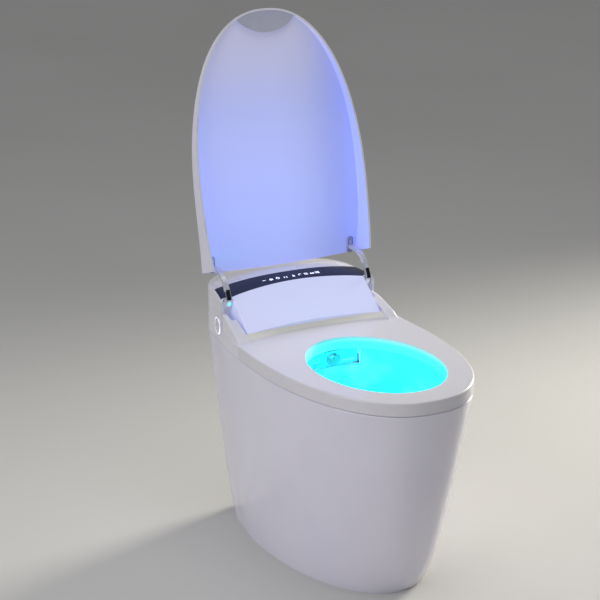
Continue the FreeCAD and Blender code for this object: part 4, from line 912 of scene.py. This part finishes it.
plated = Finish("plated_bezel", seen(210, 211, 216), 0.14, metal=1.0)
plated.feed("Base Color", plated.drift(seen(196, 197, 204), 0.01))
plated.uneven_gloss(0.1, 0.2, 0.006)
plated.relief(0.004, 0.00003)
plated.put_on("knob_bezel")

ring_lamp = Finish("ring_lamp", seen(240, 242, 255), 0.2, coat=0.8)
ring_lamp.glow(seen(240, 244, 255), ring_lamp.ramp(ring_lamp.cloud(0.016, 0.0), 0.42, 0.6, 0.35, 1.3))
ring_lamp.relief(0.002, 0.00004)
ring_lamp.put_on("knob_light")

dial_satin = Finish("satin_dial", seen(226, 225, 234), 0.3, metal=0.1, coat=0.3)
dial_satin.feed("Base Color", dial_satin.drift(seen(218, 218, 228), 0.006))
dial_satin.uneven_gloss(0.24, 0.38, 0.004)
dial_satin.relief(0.001, 0.000003)
dial_satin.put_on("knob_dial", "flush_button")

# Six small screws hold the casing's back in two rows. A line of slots between the rows
# lets the filtered air out.

# Each air slot is a flat plate whose dark colour is painted shade in place of an opening.
slot_dark = Finish("air_slot_dark", seen(36, 37, 42), 0.7)
slot_dark.feed("Base Color", slot_dark.drift(seen(52, 53, 58), 0.005))
slot_dark.uneven_gloss(0.6, 0.8, 0.005)
slot_dark.relief(0.001, 0.00002)
behind = 0.5
screw_rows = (0.432, 0.488)
screw_columns = (-0.135, 0.0, 0.135)
for row, z in enumerate(screw_rows):
    for column, x in enumerate(screw_columns):
        face = on_surface("rear_casing", (x, behind, z), (0, -1, 0), (0, 0, 1))
        screw(f"rear_screw_{row * len(screw_columns) + column}", face, "housing")
slot_count = 9
slot_pitch = 0.0140
slot_level = 0.470
slot_half_wide = 0.0050
slot_half_high = 0.0024
air_slot = bar(-slot_half_wide, -slot_half_high, slot_half_wide, slot_half_high)
for count in range(slot_count):
    x = slot_pitch * (count - (slot_count - 1) / 2)
    face = on_surface("rear_casing", (x, behind, slot_level), (0, -1, 0), (0, 0, 1))
    piece(
        f"air_slot_{count}", *slabs(air_slot, -groove_high, groove_high, face), "housing", slot_dark
    )

# Moulded, cast and drawn faces shade as one surface up to their edges. A real edge is
# where two faces meet at more than this angle.

edge_angle = 35
for thing in part.values():
    thing.data.shade_smooth()
    thing.data.set_sharp_from_angle(angle=math.radians(edge_angle))

# The studio has one plain pale floor with a dull, slightly uneven painted face. It reaches
# so far that its edge stays out of the photo's view.

floor_reach = 30.0
floor_finish = Finish("pale_floor", seen(206, 205, 203), 0.7)
floor_finish.feed("Base Color", floor_finish.drift(seen(202, 201, 199), 1.5))
floor_finish.uneven_gloss(0.62, 0.78, 0.8)
floor_finish.relief(0.02, 0.0001, 3.0)
floor_mesh = bpy.data.meshes.new("studio_floor")
edge = floor_reach / 2
floor_mesh.from_pydata(
    [(-edge, -edge, 0), (edge, -edge, 0), (edge, edge, 0), (-edge, edge, 0)], [], [(0, 1, 2, 3)]
)
studio_floor = bpy.data.objects.new("studio_floor", floor_mesh)
bpy.context.collection.objects.link(studio_floor)
floor_mesh.materials.append(floor_finish.material)

# Large soft boxes light the object from the left and from above, and a narrower, warmer
# one from the right rear. The air of the studio adds a little light from all sides.

studio_air = bpy.data.worlds.new("studio_air")
studio_air.use_nodes = True
studio_air.node_tree.nodes["Background"].inputs["Color"].default_value = (0.98, 0.99, 1.0, 1.0)
studio_air.node_tree.nodes["Background"].inputs["Strength"].default_value = 0.29
bpy.context.scene.world = studio_air

lit_point = Vector((0.0, 0.0, 0.4))


def soft_box(name, turn, rise, distance, size, power, colour, spread=180):
    """A flat lamp that faces the object from a side and a height, in degrees."""
    lamp = bpy.data.lights.new(name, "AREA")
    lamp.spread = math.radians(spread)
    lamp.shape = "RECTANGLE"
    lamp.size, lamp.size_y = size
    lamp.energy = power
    lamp.color = colour
    turn = math.radians(turn)
    rise = math.radians(rise)
    way = Vector((
        math.sin(turn) * math.cos(rise), -math.cos(turn) * math.cos(rise), math.sin(rise)
    ))
    holder = bpy.data.objects.new(name, lamp)
    bpy.context.collection.objects.link(holder)
    holder.location = lit_point + way * distance
    holder.rotation_euler = way.to_track_quat("Z", "Y").to_euler()


soft_box(
    "left_soft_box", turn=-78, rise=22, distance=3.2, size=(2.4, 2.2), power=35,
    colour=(0.97, 0.97, 1.0),
)
soft_box(
    "top_soft_box", turn=-10, rise=80, distance=3.0, size=(2.4, 2.4), power=25,
    colour=(0.99, 0.99, 1.0),
)
soft_box(
    "right_soft_box", turn=110, rise=14, distance=3.4, size=(0.9, 1.4), power=19,
    colour=(1.0, 0.96, 0.84), spread=60,
)

# The camera stands to the front left, a little above the lid, with a long lens. Its place
# was fitted to the outlines of the body, the seat and the lid.

camera_place = (-1.6369, -2.9036, 1.6087)
camera_turn = -27.899
camera_rise = 17.808
camera_roll = -0.16
focal_length = 105.1
sensor_width = 36.0
sight_end = 60.0

photo_lens = bpy.data.cameras.new("photo_camera")
photo_lens.lens = focal_length
photo_lens.sensor_width = sensor_width
photo_lens.clip_end = sight_end
photo_camera = bpy.data.objects.new("photo_camera", photo_lens)
bpy.context.collection.objects.link(photo_camera)
photo_camera.matrix_world = (
    Matrix.Translation(camera_place)
    @ Matrix.Rotation(math.radians(camera_turn), 4, "Z")
    @ Matrix.Rotation(math.radians(90 - camera_rise), 4, "X")
    @ Matrix.Rotation(math.radians(camera_roll), 4, "Z")
)
bpy.context.scene.camera = photo_camera
bpy.context.scene.view_settings.view_transform = "Standard"
